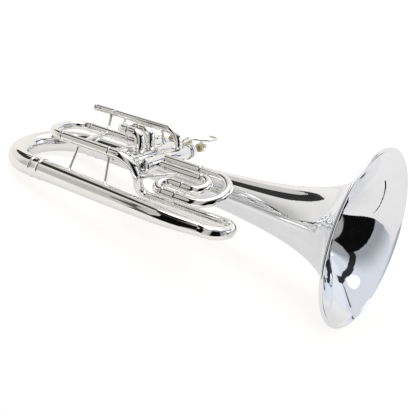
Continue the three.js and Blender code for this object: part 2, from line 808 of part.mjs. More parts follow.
const lowCoat = coat(lowMouth, mainLow(mainSlide.lowerEnd), slideTube.sleeve);
const ringCoat = coat(lowMouth, mainLow(neck.cornerX), slideTube.sleeve + band.height);
const highCoat = coat(highMouth, mainHigh(mainSlide.upperEnd), slideTube.sleeve);
add('main_slide_brace', strut(mainLow(brace.slideLowX), mainHigh(brace.slideHighX), rod.stout, rod.foot,
  [lowCoat, highCoat]), silver());

const branchLine = x => {
  const share = (x - bow.nearEnd) / (branch.kneeX - bow.nearEnd);
  return V(x, nearEnd.y + (branch.knee - nearEnd.y) * share, nearEnd.z);
};
const branchCoat = tube(branchStations, at => around(branchRadius(at), wideSides),
  { wall: bow.nearRadius / 2, sides: wideSides });
add('rear_strut', strut(mainLow(brace.rearTopX), branchLine(brace.rearFootX), rod.thin, rod.foot,
  [lowCoat, branchCoat]), silver());
add('front_strut', strut(mainLow(brace.frontTopX), branchLine(brace.frontFootX), rod.thin, rod.foot,
  [ringCoat, branchCoat]), silver());

// Leadpipe and mouthpiece receiver

const leadAt = x => V(x, lead.height, lead.side);
const leadStart = lead.mouthX + lead.receiverLength;
{
  const ring = lead.receiverRing;
  const [rim, lip] = [lead.receiver + ring, lead.receiver + ring / 2];
  const length = lead.receiverLength;
  add('mouthpiece_receiver', turned(leadAt(lead.mouthX), leadAt(leadStart), [
    [0, lead.shankMouth], [0, rim], [ring * 2, rim], [ring * 2, lead.receiver],
    [length - ring * 2, lead.receiver], [length - ring * 2, lip], [length, lip], [length, lead.shankEnd],
  ], wideSides, true), silver());
  const pipe = tube(route([
    { at: leadAt(leadStart + seat) },
    { at: leadAt(valve.frontX), bend: lead.bend },
    { at: onValve(2, lead.height) },
  ]), lead.radius, { end: lead.endRadius });
  add('leadpipe', cut(pipe, casingCutter(2)), silver());
}
const leadCoat = coat(leadAt(leadStart), leadAt(valve.frontX - lead.bend), lead.endRadius);
const receiverCoat = coat(leadAt(lead.mouthX), leadAt(leadStart), lead.receiver);
add('leadpipe_post_rear', strut(leadAt(brace.leadTopX), mainHigh(brace.leadFootX), rod.stout, rod.foot,
  [receiverCoat, highCoat]), silver());

// Second valve slide, on the right side

const tubeLine = (group, y) => V(0, y, group.side);
const secondLow = tubeLine(second, second.low);
const secondHigh = tubeLine(second, second.high);
for (const [name, line] of [['low', secondLow], ['high', secondHigh]]) {
  const path = route([
    { at: V(second.mouth, line.y, line.z) },
    { at: V(valveX[1], line.y, line.z), bend: second.bend },
    { at: onValve(1, line.y) },
  ]);
  const mouthBand = onAxis(V(second.mouth + band.width / 2, line.y, line.z), forward);
  const pipe = banded(path, slideTube.sleeve, [mouthBand]);
  add(`second_slide_sleeve_${name}`, cut(pipe, casingCutter(1)), silver());
}
const secondRadius = (second.high - second.low) / 2;
add('second_slide', slide(second.tip, [
  { at: secondLow, mouth: second.mouth, bend: secondRadius },
  { at: secondHigh, mouth: second.mouth, bend: secondRadius },
], second.grip), silver());
{
  const middle = V(second.tip, (second.low + second.high) / 2, second.side);
  const foot = slideTube.crook + knob.base;
  const flange = knob.head + knob.base;
  const shape = turned(middle, middle.clone().addScaledVector(right, knob.height), [
    [0, 0], [0, flange], [foot, flange], [foot + knob.base, knob.neck],
    [knob.height - knob.cap, knob.neck], [knob.height - knob.cap * knob.capStartShare, knob.head],
    [knob.height - knob.cap * knob.capEndShare, knob.head], [knob.height, knob.neck], [knob.height, 0],
  ]);
  const [below, above] = [-1, 1].map(way => middle.clone().addScaledVector(upward, way * secondRadius));
  add('second_slide_knob', cut(shape, coat(below, above, slideTube.crook)), silver());
}
add('leadpipe_post_front', strut(leadAt(brace.leadFrontX), onValve(1, lead.height), rod.thin, rod.foot,
  [leadCoat, casingCutter(1)]), silver());

// First valve slide, behind the second

const firstLow = tubeLine(first, first.low);
const firstHigh = tubeLine(first, first.high);
for (const [name, line] of [['low', firstLow], ['high', firstHigh]]) {
  const path = route([
    { at: V(first.mouth, line.y, line.z) },
    { at: V(valveX[0], line.y, line.z), bend: first.bend },
    { at: onValve(0, line.y) },
  ]);
  const mouthBand = onAxis(V(first.mouth + band.width / 2, line.y, line.z), forward);
  const pipe = banded(path, slideTube.sleeve, [mouthBand]);
  add(`first_slide_sleeve_${name}`, cut(pipe, casingCutter(0)), silver());
}
const firstRadius = (first.high - first.low) / 2;
add('first_slide', slide(first.tip, [
  { at: firstLow, mouth: first.mouth, bend: firstRadius },
  { at: firstHigh, mouth: first.mouth, bend: firstRadius },
], first.grip), silver());

// Third valve slide, a spiral on the right side

const tilt = THREE.MathUtils.degToRad(third.tiltDegrees);
const downSpiral = V(0, -Math.cos(tilt), -Math.sin(tilt));
const spiral = (x, drop) => V(x, third.high, valve.side).addScaledVector(downSpiral, drop);
const lowest = 2 * third.outerBend;
const leftTop = lowest - 2 * third.leftBend;
const innerTop = leftTop - 2 * third.innerBend;
{
  const outerSleeve = banded(straight(spiral(valve.frontX, 0), spiral(third.mouth, 0)), slideTube.sleeve,
    [onAxis(spiral(third.mouth - band.width / 2, 0), forward)]);
  add('third_slide_sleeve_outer', cut(outerSleeve, casingCutter(2)), silver());
  const innerBow = hairpin(spiral(third.innerTurn, innerTop), forward, downSpiral, third.innerBend,
    third.innerTurn - valve.frontX, third.innerTurn - third.joint - seat);
  const inner = banded(innerBow, slideTube.sleeve, [
    onAxis(spiral(third.innerTurn - band.width, innerTop), forward),
    onAxis(spiral(third.joint + band.width / 2 + seat, leftTop), forward),
  ]);
  add('third_slide_inner_bow', cut(inner, casingCutter(2)), silver());
  const [backward, upSpiral] = [forward.clone().negate(), downSpiral.clone().negate()];
  const leftBow = hairpin(spiral(third.leftTurn, lowest), backward, upSpiral,
    third.leftBend, third.lowerMouth - third.leftTurn, third.joint - third.leftTurn);
  add('third_slide_left_bow', banded(leftBow, slideTube.sleeve, [
    onAxis(spiral(third.leftTurn + band.width, lowest), forward),
    onAxis(spiral(third.lowerMouth - band.width / 2, lowest), forward),
  ]), silver());
}
add('third_slide', slide(third.tip, [
  { at: spiral(0, 0), mouth: third.mouth, bend: third.outerBend },
  { at: spiral(0, lowest), mouth: third.lowerMouth, bend: third.outerBend },
], third.grip), silver());

// Braces round the valves

const returnLine = x => {
  const share = (x - neck.endX) / (branch.frontX - neck.endX);
  return neckEnd.clone().lerp(returnFront, share).setX(x);
};
const returnCoat = coat(neckEnd, returnFront, frontBow.endRadius + seat);
const bellShell = bellOuter.map(([along, radius]) => [along, radius + seat]);
const bellCoat = turned(bellTail, bellMouth, [[0, 0], ...bellShell, [bellShell.at(-1)[0], 0]], bellSides);
add('bell_strut', strut(returnLine(brace.bellX), V(brace.bellX, 0, 0), rod.stout, rod.foot,
  [returnCoat, bellCoat]), silver());
const innerCoat = coat(spiral(valve.frontX, innerTop), spiral(third.innerTurn, innerTop), slideTube.sleeve);
const neckCoat = tube(route([
  { at: mainLow(neck.cornerX - neck.bend) }, { at: mainLow(neck.cornerX), bend: neck.bend },
  { at: neckFoot, bend: neck.footBend }, { at: neckEnd },
]), slideTube.sleeve + 2 * seat, { wall: slideTube.sleeve });
add('neck_brace', strut(neckFoot.clone().lerp(mainLow(neck.cornerX), brace.neckShare),
  spiral(brace.neckTopX, innerTop), rod.stout, rod.foot, [neckCoat, innerCoat]), silver());
// Links between neighbouring valves
[0, 1].forEach(i => {
  const link = tube(straight(onValve(i, valve.link), onValve(i + 1, valve.link)), slideTube.inner);
  add(`valve_link_${i + 1}`, cut(link, casingCutter(i), casingCutter(i + 1)), silver());
});

// Finger hook beside the third valve
{
  const path = route([
    { at: onValve(2, hook.foot) },
    { at: V(valve.frontX, hook.foot, hook.side), bend: hook.bend },
    { at: V(hook.rearX, hook.rear, hook.side), bend: hook.bend },
    { at: V(hook.frontX, hook.front, hook.side), bend: hook.bend },
    { at: V(hook.frontX, hook.tip, hook.side), bend: hook.bend },
    { at: V(hook.tipX, hook.tip, hook.side) },
  ]);
  add('finger_hook', cut(wire(path, hook.radius, hook.sides), casingCutter(2)), silver());
}

// Resting on its side: the bell rim and the big bow both touch the ground.

const lean = THREE.MathUtils.degToRad(restRollDegrees);
const steepest = THREE.MathUtils.degToRad(steepestDegrees);
const lowestOf = (mesh, turn) => {
  const down = right.clone().applyQuaternion(new THREE.Quaternion().setFromEuler(turn).invert());
  const position = mesh.geometry.attributes.position;
  const place = V();
  let low = Infinity;
  for (let i = 0; i < position.count; i++) {
    low = Math.min(low, place.fromBufferAttribute(position, i).dot(down));
  }
  return low;
};
function settle() {
  const pitched = angle => new THREE.Euler(lean, angle, 0, 'YXZ');
  let [steep, shallow] = [steepest, 0];
  const tries = 40;
  for (let k = 0; k < tries; k++) {
    const middle = (steep + shallow) / 2;
    const bellFirst = lowestOf(bellMesh, pitched(middle)) < lowestOf(bowMesh, pitched(middle));
    if (bellFirst) shallow = middle;
    else steep = middle;
  }
  return pitched(steep);
}
instrument.rotation.copy(settle());
instrument.name = 'instrument_axes';

const euphonium = new THREE.Group();
euphonium.add(instrument);
euphonium.updateMatrixWorld(true);
const box = new THREE.Box3().setFromObject(euphonium, true);
const middle = box.getCenter(V());
instrument.position.set(-middle.x, -middle.y, -box.min.z);

export default euphonium;
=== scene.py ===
# %% [markdown]
# # A silver plated marching euphonium
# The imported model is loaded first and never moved. It is the frame that every piece below is fitted to:
# each piece replaces one of its solids and rides on the same body, so that the valves and slides still move.
# A brass instrument is a set of drawn tubes, turned fittings and one spun bell, all polished to a mirror.

import json
import math

import bmesh
import bpy
from mathutils import Matrix, Vector

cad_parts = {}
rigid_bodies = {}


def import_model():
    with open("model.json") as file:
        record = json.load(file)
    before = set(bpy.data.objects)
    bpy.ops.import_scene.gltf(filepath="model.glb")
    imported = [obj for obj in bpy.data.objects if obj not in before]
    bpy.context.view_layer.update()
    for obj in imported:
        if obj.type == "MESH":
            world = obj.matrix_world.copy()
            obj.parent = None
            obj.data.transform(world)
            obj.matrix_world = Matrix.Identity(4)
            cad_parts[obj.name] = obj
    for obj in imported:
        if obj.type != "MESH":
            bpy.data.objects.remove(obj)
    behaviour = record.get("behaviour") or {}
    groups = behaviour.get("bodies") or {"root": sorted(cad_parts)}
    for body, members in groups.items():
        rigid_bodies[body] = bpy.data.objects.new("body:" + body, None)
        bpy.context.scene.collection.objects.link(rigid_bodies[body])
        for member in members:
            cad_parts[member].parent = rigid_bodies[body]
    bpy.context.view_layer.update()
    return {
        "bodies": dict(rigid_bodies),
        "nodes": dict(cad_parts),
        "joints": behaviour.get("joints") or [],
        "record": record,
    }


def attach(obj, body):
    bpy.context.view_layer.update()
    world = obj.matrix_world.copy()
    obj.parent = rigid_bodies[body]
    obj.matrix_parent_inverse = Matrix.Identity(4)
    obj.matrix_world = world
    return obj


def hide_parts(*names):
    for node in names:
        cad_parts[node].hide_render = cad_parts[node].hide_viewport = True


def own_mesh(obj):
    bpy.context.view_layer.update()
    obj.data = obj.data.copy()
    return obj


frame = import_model()

# %% [markdown]
# The instrument lies tipped on its side, so sizes are easier to read along its own axes: x runs forward
# along the bell, y from the bottom of the valves to the finger buttons, z to the player's right. The joints
# give these directions. The third slide pulls straight forward, and the valves go down along an axis that
# leans 2.9 degrees out of y. A point on the ring of the receiver's mouth is a mount, and gives the origin.

# %% The instrument's own axes, in millimetres
MM = 0.001
VALVE_LEAN = math.radians(2.9)
LEAD_MOUTH = Vector((-525, -12.1, 78))

joint_axis = {joint["name"]: Vector(joint["axis"]).normalized() for joint in frame["joints"]}
mount = {m["name"]: Vector(m["pos_m"]) for m in frame["record"]["mounts"]}

ahead = joint_axis["third_slide_pull"]
valve_up = -joint_axis["valve_1_press"]
aside = ahead.cross(valve_up).normalized()
valve_up = aside.cross(ahead)
up_axis = valve_up * math.cos(VALVE_LEAN) - aside * math.sin(VALVE_LEAN)
right_axis = valve_up * math.sin(VALVE_LEAN) + aside * math.cos(VALVE_LEAN)

axes = Matrix((ahead, up_axis, right_axis)).transposed()
origin = mount["receiver_mouth"] - axes @ LEAD_MOUTH * MM
to_frame = axes.to_4x4() * MM
to_frame.translation = origin
to_frame[3][3] = 1
print("origin of the instrument axes:", [round(v, 4) for v in origin])


def at(x, y, z):
    return Vector((x, y, z))


def placed(name, data):
    """A new object in the scene."""
    made = bpy.data.objects.new(name, data)
    bpy.context.scene.collection.objects.link(made)
    return made


FORWARD, BACKWARD, UPWARD, RIGHT = at(1, 0, 0), at(-1, 0, 0), at(0, 1, 0), at(0, 0, 1)

# %% [markdown]
# ## Camera
# The photograph was taken from the player's right, in front of the bell and above the table, with the camera
# rolled by about 15 degrees. Its place comes from the ellipse of the bell rim and from the parallel tubes.

# %% Camera
CAMERA_RIGHT = Vector((0.81038, 0.57222, 0.12590))
CAMERA_UP = Vector((-0.29206, 0.20824, 0.93346))
CAMERA_PLACE = at(399.4, -1057.4, 409.0)
LENS, SENSOR = 69.23, 36
NEAREST, FARTHEST = 0.05, 50

camera_data = bpy.data.cameras.new("camera")
camera_data.lens, camera_data.sensor_width, camera_data.sensor_fit = LENS, SENSOR, "HORIZONTAL"
camera_data.clip_start, camera_data.clip_end = NEAREST, FARTHEST
camera = placed("camera", camera_data)
camera_back = CAMERA_RIGHT.cross(CAMERA_UP).normalized()
camera_turn = (axes @ Matrix((CAMERA_RIGHT, CAMERA_UP, camera_back)).transposed()).normalized()
camera.matrix_world = Matrix.Translation(to_frame @ CAMERA_PLACE) @ camera_turn.to_4x4()
bpy.context.scene.camera = camera
print("camera at", [round(v, 3) for v in camera.matrix_world.translation])

# %% [markdown]
# ## Node helpers
# Materials, the world and Geometry Nodes are all node trees. One function adds a node with its settings.
# Its inputs are values, and a value that is itself a node or a socket becomes a link.


# %% Node helpers
def node(tree, kind, inputs=(), **settings):
    """Adds a node. A kind without a family takes the tree's own, and inputs go by name or by number."""
    family = "GeometryNode" if tree.bl_idname == "GeometryNodeTree" else "ShaderNode"
    made = tree.nodes.new(kind if "Node" in kind else family + kind)
    for name, value in settings.items():
        setattr(made, name, value)
    for socket, value in (inputs.items() if isinstance(inputs, dict) else enumerate(inputs)):
        for each in value if isinstance(value, list) else [value]:
            if isinstance(each, bpy.types.Node):
                each = each.outputs[0]
            if isinstance(each, bpy.types.NodeSocket):
                tree.links.new(each, made.inputs[socket])
            else:
                made.inputs[socket].default_value = each
    return made


def colour(hex_code):
    """An sRGB colour such as '#EDEBE6' as the linear values that Blender's sockets hold."""
    shares = [int(hex_code[i:i + 2], 16) / 255 for i in (1, 3, 5)]
    return (*(s / 12.92 if s <= 0.04045 else ((s + 0.055) / 1.055) ** 2.4 for s in shares), 1)


def new_material(name):
    """A material, its empty tree, and the coordinates that its patterns read."""
    material = bpy.data.materials.new(name)
    material.use_nodes = True
    tree = material.node_tree
    tree.nodes.clear()
    return material, tree, node(tree, "TexCoord").outputs["Object"]


# %% [markdown]
# ## Silver plate
# The horn is brass with a few micrometres of bright silver, buffed on a soft wheel. It is a nearly perfect
# mirror: the eye sees hardly any colour of its own, only the room drawn out along each tube. Two things keep
# it from looking like computer chrome. Buffing leaves the wall very slightly wavy over a few centimetres,
# which bends long reflections, and handling leaves faint cloudy patches where the gloss is a little lower.

# %% Silver plate
WAVE_MM = 45        # distance between the soft waves that buffing leaves
CLOUD_MM = 18       # size of the faint cloudy patches
RING_MM = 5         # spacing of the marks that spinning leaves round the bell


def plated(name, light, dark, gloss, cloudy, wave, spun=0):
    """Plate whose gloss varies from gloss to cloudy, wavy by wave mm, with turning marks spun mm deep."""
    material, tree, place = new_material(name)
    clouds = node(tree, "TexNoise", {"Vector": place, "Scale": 1 / (CLOUD_MM * MM), "Detail": 3})
    tint = node(tree, "Mix", {0: clouds, 6: colour(light), 7: colour(dark)}, data_type="RGBA").outputs[2]
    rough = node(tree, "MapRange", (clouds, 0.35, 0.75, gloss, cloudy))
    waves = node(tree, "TexNoise", {"Vector": place, "Scale": 1 / (WAVE_MM * MM), "Detail": 1})
    bump = node(tree, "Bump", {"Height": waves, "Strength": 1, "Distance": wave * MM})
    if spun:
        # Rings square to the bell's axis, so the pattern changes only with the distance along it.
        along = node(tree, "VectorMath", (place, tuple(ahead)), operation="DOT_PRODUCT").outputs["Value"]
        rings = node(tree, "TexNoise", {"W": along, "Scale": 1 / (RING_MM * MM), "Detail": 2},
                     noise_dimensions="1D")
        bump = node(tree, "Bump", {"Height": rings, "Distance": spun * MM, "Normal": bump})
    shader = node(tree, "BsdfPrincipled", {"Base Color": tint, "Roughness": rough, "Metallic": 1,
                                           "Normal": bump})
    node(tree, "OutputMaterial", (shader,))
    return material


silver_plate =plated("silver_plate_buffed", "#F7F7F5", "#EFEFEE", 0.02, 0.05, 0.25)
bell_plate = plated("silver_plate_spun_bell", "#F4F6FA", "#ECEEF2", 0.02, 0.06, 0.5, 0.05)
nickel_plate = plated("nickel_plate_polished", "#D9D6CE", "#CDCAC2", 0.08, 0.16, 0.1)
print("plated finishes:", silver_plate.name, bell_plate.name, nickel_plate.name)

# %% [markdown]
# ## The small fittings' finishes
# The discs on the finger buttons are mother of pearl: layers of shell that cloud from cream to a greenish
# grey under a clear polish. The water key closes on cork, whose grains are about a millimetre, and the
# buttons land on washers of pressed wool felt. The valve springs are hard drawn wire.

# %% Pearl, cork, felt and spring wire
PEARL_LAYER_MM, PEARL_RELIEF_MM = 3.5, 0.05
CORK_GRAIN_MM, CORK_RELIEF_MM = 1.1, 0.15
FELT_FIBRE_MM, FELT_RELIEF_MM = 0.35, 0.1
STEEL, DRAW_LINE_MM = "#9A9A9C", 0.4


def pearl_finish():
    material, tree, place = new_material("mother_of_pearl_polished")
    layers = node(tree, "TexNoise", {"Vector": place, "Scale": 1 / (PEARL_LAYER_MM * MM), "Detail": 4,
                                     "Distortion": 1.8})
    ramp = node(tree, "ValToRGB", (layers,))
    for stop, where, tone in zip(ramp.color_ramp.elements, (0.3, 0.7), ("#B9AF8C", "#EFE8CF")):
        stop.position, stop.color = where, colour(tone)
    bump = node(tree, "Bump", {"Height": layers, "Distance": PEARL_RELIEF_MM * MM})
    shader = node(tree, "BsdfPrincipled", {"Base Color": ramp, "Roughness": 0.22, "Coat Weight": 0.6,
                                           "Coat Roughness": 0.04, "Sheen Weight": 0.1, "Normal": bump})
    node(tree, "OutputMaterial", (shader,))
    return material


def grain_finish(name, dark, light, grain, roughness, relief, sheen):
    """Cork or felt: grains or tufts of grain mm, darker between, that stand relief mm proud."""
    material, tree, place = new_material(name)
    cells = node(tree, "TexVoronoi", {"Vector": place, "Scale": 1 / (grain * MM)})
    fuzz = node(tree, "TexNoise", {"Vector": place, "Scale": 2 / (grain * MM), "Detail": 5})
    grains = node(tree, "Math", (cells, fuzz), operation="MULTIPLY")
    tint = node(tree, "Mix", {0: grains, 6: colour(dark), 7: colour(light)}, data_type="RGBA").outputs[2]
    bump = node(tree, "Bump", {"Height": grains, "Distance": relief * MM})
    shader = node(tree, "BsdfPrincipled", {"Base Color": tint, "Roughness": roughness, "Sheen Weight": sheen,
                                           "Normal": bump})
    node(tree, "OutputMaterial", (shader,))
    return material


def wire_finish():
    material, tree, place = new_material("spring_wire_hard_drawn")
    lines = node(tree, "TexWave", {"Vector": place, "Scale": 1 / (DRAW_LINE_MM * MM), "Distortion": 3})
    rough = node(tree, "MapRange", (lines.outputs["Fac"], 0, 1, 0.25, 0.4))
    shader = node(tree, "BsdfPrincipled", {"Base Color": colour(STEEL), "Metallic": 1, "Roughness": rough})
    node(tree, "OutputMaterial", (shader,))
    return material


pearl = pearl_finish()
cork = grain_finish("natural_cork_cut", "#6E4B2B", "#B98E5C", CORK_GRAIN_MM, 0.85, CORK_RELIEF_MM, 0.0)
felt = grain_finish("wool_felt_pressed", "#C4B68A", "#EFE3C0", FELT_FIBRE_MM, 0.95, FELT_RELIEF_MM, 0.4)
spring_wire = wire_finish()
print("small finishes:", pearl.name, cork.name, felt.name, spring_wire.name)

# %% [markdown]
# ## Paths
# A tube is bent round a former, so its centre line is made of straight runs joined by arcs. `bent` rounds
# the corners of a list of points with the radius given for each, and `bow` makes a half turn. The stations
# of both lie a few degrees apart, close enough that a mirror finish shows no facets.

# %% Paths
ARC_STEP = math.radians(4)
TOO_CLOSE = 0.05


def spaced(places):
    """The places, without any that all but touches the one before it."""
    return [p for i, p in enumerate(places) if i == 0 or (p - places[i - 1]).length > TOO_CLOSE]


def bent(*corners):
    """Stations along corners, each a point or a (point, bend radius)."""
    corners = [c if isinstance(c, tuple) else (c, 0) for c in corners]
    places = [corners[0][0].copy()]
    for (before, _), (corner, bend), (after, _) in zip(corners, corners[1:], corners[2:]):
        back, on = (before - corner).normalized(), (after - corner).normalized()
        opening = back.angle(on)
        centre = corner + (back + on).normalized() * (bend / math.sin(opening / 2))
        out = (corner + back * (bend / math.tan(opening / 2)) - centre).normalized()
        turn = math.pi - opening
        steps = max(3, math.ceil(turn / ARC_STEP))
        for k in range(steps + 1):
            angle = turn * k / steps
            places.append(centre + out * bend * math.cos(angle) - back * bend * math.sin(angle))
    return spaced([*places, corners[-1][0].copy()])


def bow(start, heading, across, radius, lead_in, lead_out):
    """A half turn that starts at start, heads along heading and comes back beside itself."""
    steps = math.ceil(math.pi / ARC_STEP)
    places = [start - heading * lead_in]
    for k in range(steps + 1):
        angle = math.pi * k / steps
        places.append(start + heading * radius * math.sin(angle) + across * radius * (1 - math.cos(angle)))
    return spaced([*places, places[-1] - heading * lead_out])


def tapered(stations, start, end):
    """Radii that run evenly from start to end along the stations."""
    run = [0]
    for a, b in zip(stations, stations[1:]):
        run.append(run[-1] + (b - a).length)
    return [start + (end - start) * r / run[-1] for r in run]


def divided(start, end, parts):
    return [start.lerp(end, k / parts) for k in range(parts + 1)]


print("arc step in degrees:", round(math.degrees(ARC_STEP), 1))

# %% [markdown]
# ## Drawn tubes with Geometry Nodes
# Every tube, wire and strut follows a path, so one node tree makes them all. A mesh of bare edges carries the
# path, and an attribute on its points holds the tube's radius there. The tree turns the edges into a curve
# and sweeps a circle along it. For a tube it then extrudes the skin inwards by the wall, turns the new
# faces round and welds the ends, so that a slide can really be pulled out of its sleeve. A second attribute
# marks the points that carry a raised band, the ring that stiffens a sleeve's mouth.

# %% Starting and ending a tree
RADIUS, BAND = "tube_radius", "band_here"


def new_tree(name, sockets):
    """A tree with named inputs, each (name, type, value), and those inputs."""
    tree = bpy.data.node_groups.new(name, "GeometryNodeTree")
    tree.interface.new_socket(name="Geometry", in_out="INPUT", socket_type="NodeSocketGeometry")
    for label, kind, value in sockets:
        made = tree.interface.new_socket(name=label, in_out="INPUT", socket_type="NodeSocket" + kind)
        if value is not None:
            made.default_value = value
    tree.interface.new_socket(name="Geometry", in_out="OUTPUT", socket_type="NodeSocketGeometry")
    return tree, node(tree, "NodeGroupInput").outputs


def end_tree(tree, geometry, given):
    real = node(tree, "RealizeInstances", (geometry,))
    smooth = node(tree, "SetShadeSmooth", (real,))
    dressed = node(tree, "SetMaterial", {"Geometry": smooth, "Material": given["Material"]})
    node(tree, "NodeGroupOutput", (dressed,))


# %% The tree for drawn tubes
EASED_SHARE = 0.35      # how much of a band's height its rounded edge takes


def drawn_tube_tree():
    tree, given = new_tree("drawn tube", [
        ("Sides", "Int", 48), ("Wall", "Float", 0.0), ("Hollow", "Bool", False),
        ("Band Radius", "Float", 0.0084), ("Band Width", "Float", 0.004), ("Band Height", "Float", 0.0011),
        ("Material", "Material", None)])
    path = node(tree, "MeshToCurve", {"Mesh": given["Geometry"]})
    radius = node(tree, "InputNamedAttribute", {"Name": RADIUS}, data_type="FLOAT")
    marked = node(tree, "InputNamedAttribute", {"Name": BAND}, data_type="BOOLEAN")
    circle = node(tree, "CurvePrimitiveCircle", {"Resolution": given["Sides"], "Radius": 1}, mode="RADIUS")
    solid, skin = [node(tree, "CurveToMesh", {"Curve": path, "Profile Curve": circle, "Scale": radius,
                                              "Fill Caps": capped}) for capped in (True, False)]
    inward = node(tree, "ShaderNodeMath", (given["Wall"], -1), operation="MULTIPLY")
    inner = node(tree, "ExtrudeMesh", {"Mesh": skin, "Offset Scale": inward, "Individual": False},
                 mode="FACES")
    turned_round = node(tree, "FlipFaces", (inner,))
    both = node(tree, "JoinGeometry", ([skin, turned_round],))
    welded = node(tree, "MergeByDistance", {"Geometry": both, "Distance": 1e-6})
    tube = node(tree, "Switch", {"Switch": given["Hollow"], "False": solid, "True": welded},
                input_type="GEOMETRY")
    # A band is a ring of a small rounded section, one at each marked point and square to the path.
    ring_path = node(tree, "CurvePrimitiveCircle", {"Resolution": given["Sides"],
                                                    "Radius": given["Band Radius"]}, mode="RADIUS")
    section = node(tree, "CurvePrimitiveQuadrilateral", {"Width": given["Band Height"],
                                                         "Height": given["Band Width"]})
    edge = node(tree, "ShaderNodeMath", (given["Band Height"], EASED_SHARE), operation="MULTIPLY")
    rounded = node(tree, "FilletCurve", {"Curve": section, "Count": 3, "Radius": edge}, mode="POLY")
    ring = node(tree, "CurveToMesh", {"Curve": ring_path, "Profile Curve": rounded})
    along = node(tree, "InputTangent")
    turn = node(tree, "FunctionNodeAlignRotationToVector", {"Vector": along}, axis="Z")
    rings = node(tree, "InstanceOnPoints", {"Points": path, "Selection": marked, "Instance": ring,
                                            "Rotation": turn})
    end_tree(tree, node(tree, "JoinGeometry", ([tube, rings],)), given)
    return tree


tube_tree = drawn_tube_tree()
print("tube tree:", len(tube_tree.nodes), "nodes")

# %% [markdown]
# A modifier holds the tree's inputs under their identifiers. The finished shape is read back as a plain mesh,
# and the object that carried the modifier is deleted, so nothing is left live. The tubes of the slides come
# in three sizes: a leg runs inside a sleeve with a tenth of a millimetre or so to spare, and a crook is as
# wide as its name needs.

# %% Running a tree
SLEEVE, LEG, CROOK = 8.0, 6.75, 7.5     # outer radii
SHEET = 0.9                             # wall of a drawn tube
BAND_RADIUS, BAND_WIDTH, BAND_HEIGHT = 8.4, 4.0, 1.1


def run_tree(tree, mesh, **given):
    carrier = placed("carrier", mesh)
    modifier = carrier.modifiers.new("nodes", "NODES")
    modifier.node_group = tree
    for item in tree.interface.items_tree:
        key = item.name.lower().replace(" ", "_")
        if item.in_out == "INPUT" and key in given:
            modifier[item.identifier] = given[key]
    ready = carrier.evaluated_get(bpy.context.evaluated_depsgraph_get())
    made = bpy.data.meshes.new_from_object(ready)
    bpy.data.objects.remove(carrier)
    bpy.data.meshes.remove(mesh)
    return made


def drawn(*runs, wall=SHEET, sides=48, material=silver_plate):
    """Tubes, or rods where wall is 0. A run is (stations, radius or radii, which stations have a band)."""
    points, edges, radii, bands = [], [], [], []
    for stations, radius, *marked in runs:
        base, count = len(points), len(stations)
        points += [to_frame @ p for p in stations]
        edges += [(base + i, base + i + 1) for i in range(count - 1)]
        radii += [r * MM for r in (radius if isinstance(radius, list) else [radius] * count)]
        chosen = {k % count for k in (marked[0] if marked else ())}
        bands += [i in chosen for i in range(count)]
    mesh = bpy.data.meshes.new("path")
    mesh.from_pydata(points, edges, [])
    mesh.attributes.new(RADIUS, "FLOAT", "POINT").data.foreach_set("value", radii)
    mesh.attributes.new(BAND, "BOOLEAN", "POINT").data.foreach_set("value", bands)
    return run_tree(tube_tree, mesh, sides=sides, wall=wall * MM, hollow=wall > 0, material=material,
                    band_radius=BAND_RADIUS * MM, band_width=BAND_WIDTH * MM, band_height=BAND_HEIGHT * MM)


print("tube walls are", SHEET, "mm")

# %% [markdown]
# ## Turned pieces
# Casings, caps, ferrules, buttons and the bell are round about one axis, as they come off a lathe. The
# outline is a list of distances along the axis and radii. Its corners are eased first, because no polished
# edge is truly sharp and the eye looks for the thin highlight there.

# %% Turned pieces
SLIGHT_BEND = math.radians(20)      # a corner of the outline that turns less than this stays as it is
NOTHING = 1e-6


def eased(rows, ease, closed):
    """Rounds the corners of an outline, apart from those on the axis."""
    points = [Vector(r) for r in rows]
    smooth = []
    for i, here in enumerate(points):
        back, on = points[i - 1] - here, points[(i + 1) % len(points)] - here
        ends = not closed and i in (0, len(points) - 1)
        if ends or min(here.y, back.length, on.length) < NOTHING or math.pi - back.angle(on) < SLIGHT_BEND:
            smooth.append(here)
            continue
        reach = min(ease, 0.4 * back.length, 0.4 * on.length)
        first, last = here + back.normalized() * reach, here + on.normalized() * reach
        for t in (0, 0.33, 0.67, 1):
            smooth.append(first.lerp(here, t).lerp(here.lerp(last, t), t))
    return smooth


def turned(start, axis, rows, sides=64, ease=0.3):
    """A mesh turned about the line from start along axis. Rows are (distance from start, radius)."""
    closed = rows[0][1] > NOTHING       # an outline that starts on the axis ends there too
    side = axis.orthogonal().normalized()
    over = axis.cross(side)
    points, faces, rings = [], [], []
    for along, radius in eased(rows, ease, closed):
        centre = start + axis * along
        if radius < NOTHING:
            rings.append([len(points)])
            points.append(centre)
            continue
        rings.append(list(range(len(points), len(points) + sides)))
        for k in range(sides):
            angle = 2 * math.pi * k / sides
            points.append(centre + side * radius * math.cos(angle) + over * radius * math.sin(angle))
    for a, b in list(zip(rings, rings[1:])) + ([(rings[-1], rings[0])] if closed else []):
        for k in range(sides):
            n = (k + 1) % sides
            if len(a) > 1 and len(b) > 1:
                faces.append((a[k], a[n], b[n], b[k]))
            elif len(a) > 1:
                faces.append((a[k], a[n], b[0]))
            elif len(b) > 1:
                faces.append((a[0], b[n], b[k]))
    mesh = bpy.data.meshes.new("turned")
    mesh.from_pydata([to_frame @ p for p in points], [], faces)
    return mesh


print("outline corners are eased where they turn more than", round(math.degrees(SLIGHT_BEND)), "degrees")

# %% [markdown]
# A finished piece joins the meshes that are soldered together, points its faces outwards, and takes over
# from its CAD node on the same body, with one material of its own. The CAD node stays hidden for collision.

# %% Handing over from a CAD node
SOFT_ANGLE = math.radians(38)       # a smooth mirror, broken only where faces meet more sharply than this
made_pieces = []


def body_of(cad_node):
    carrier = frame["nodes"][cad_node].parent
    return next(name for name, empty in frame["bodies"].items() if empty is carrier)


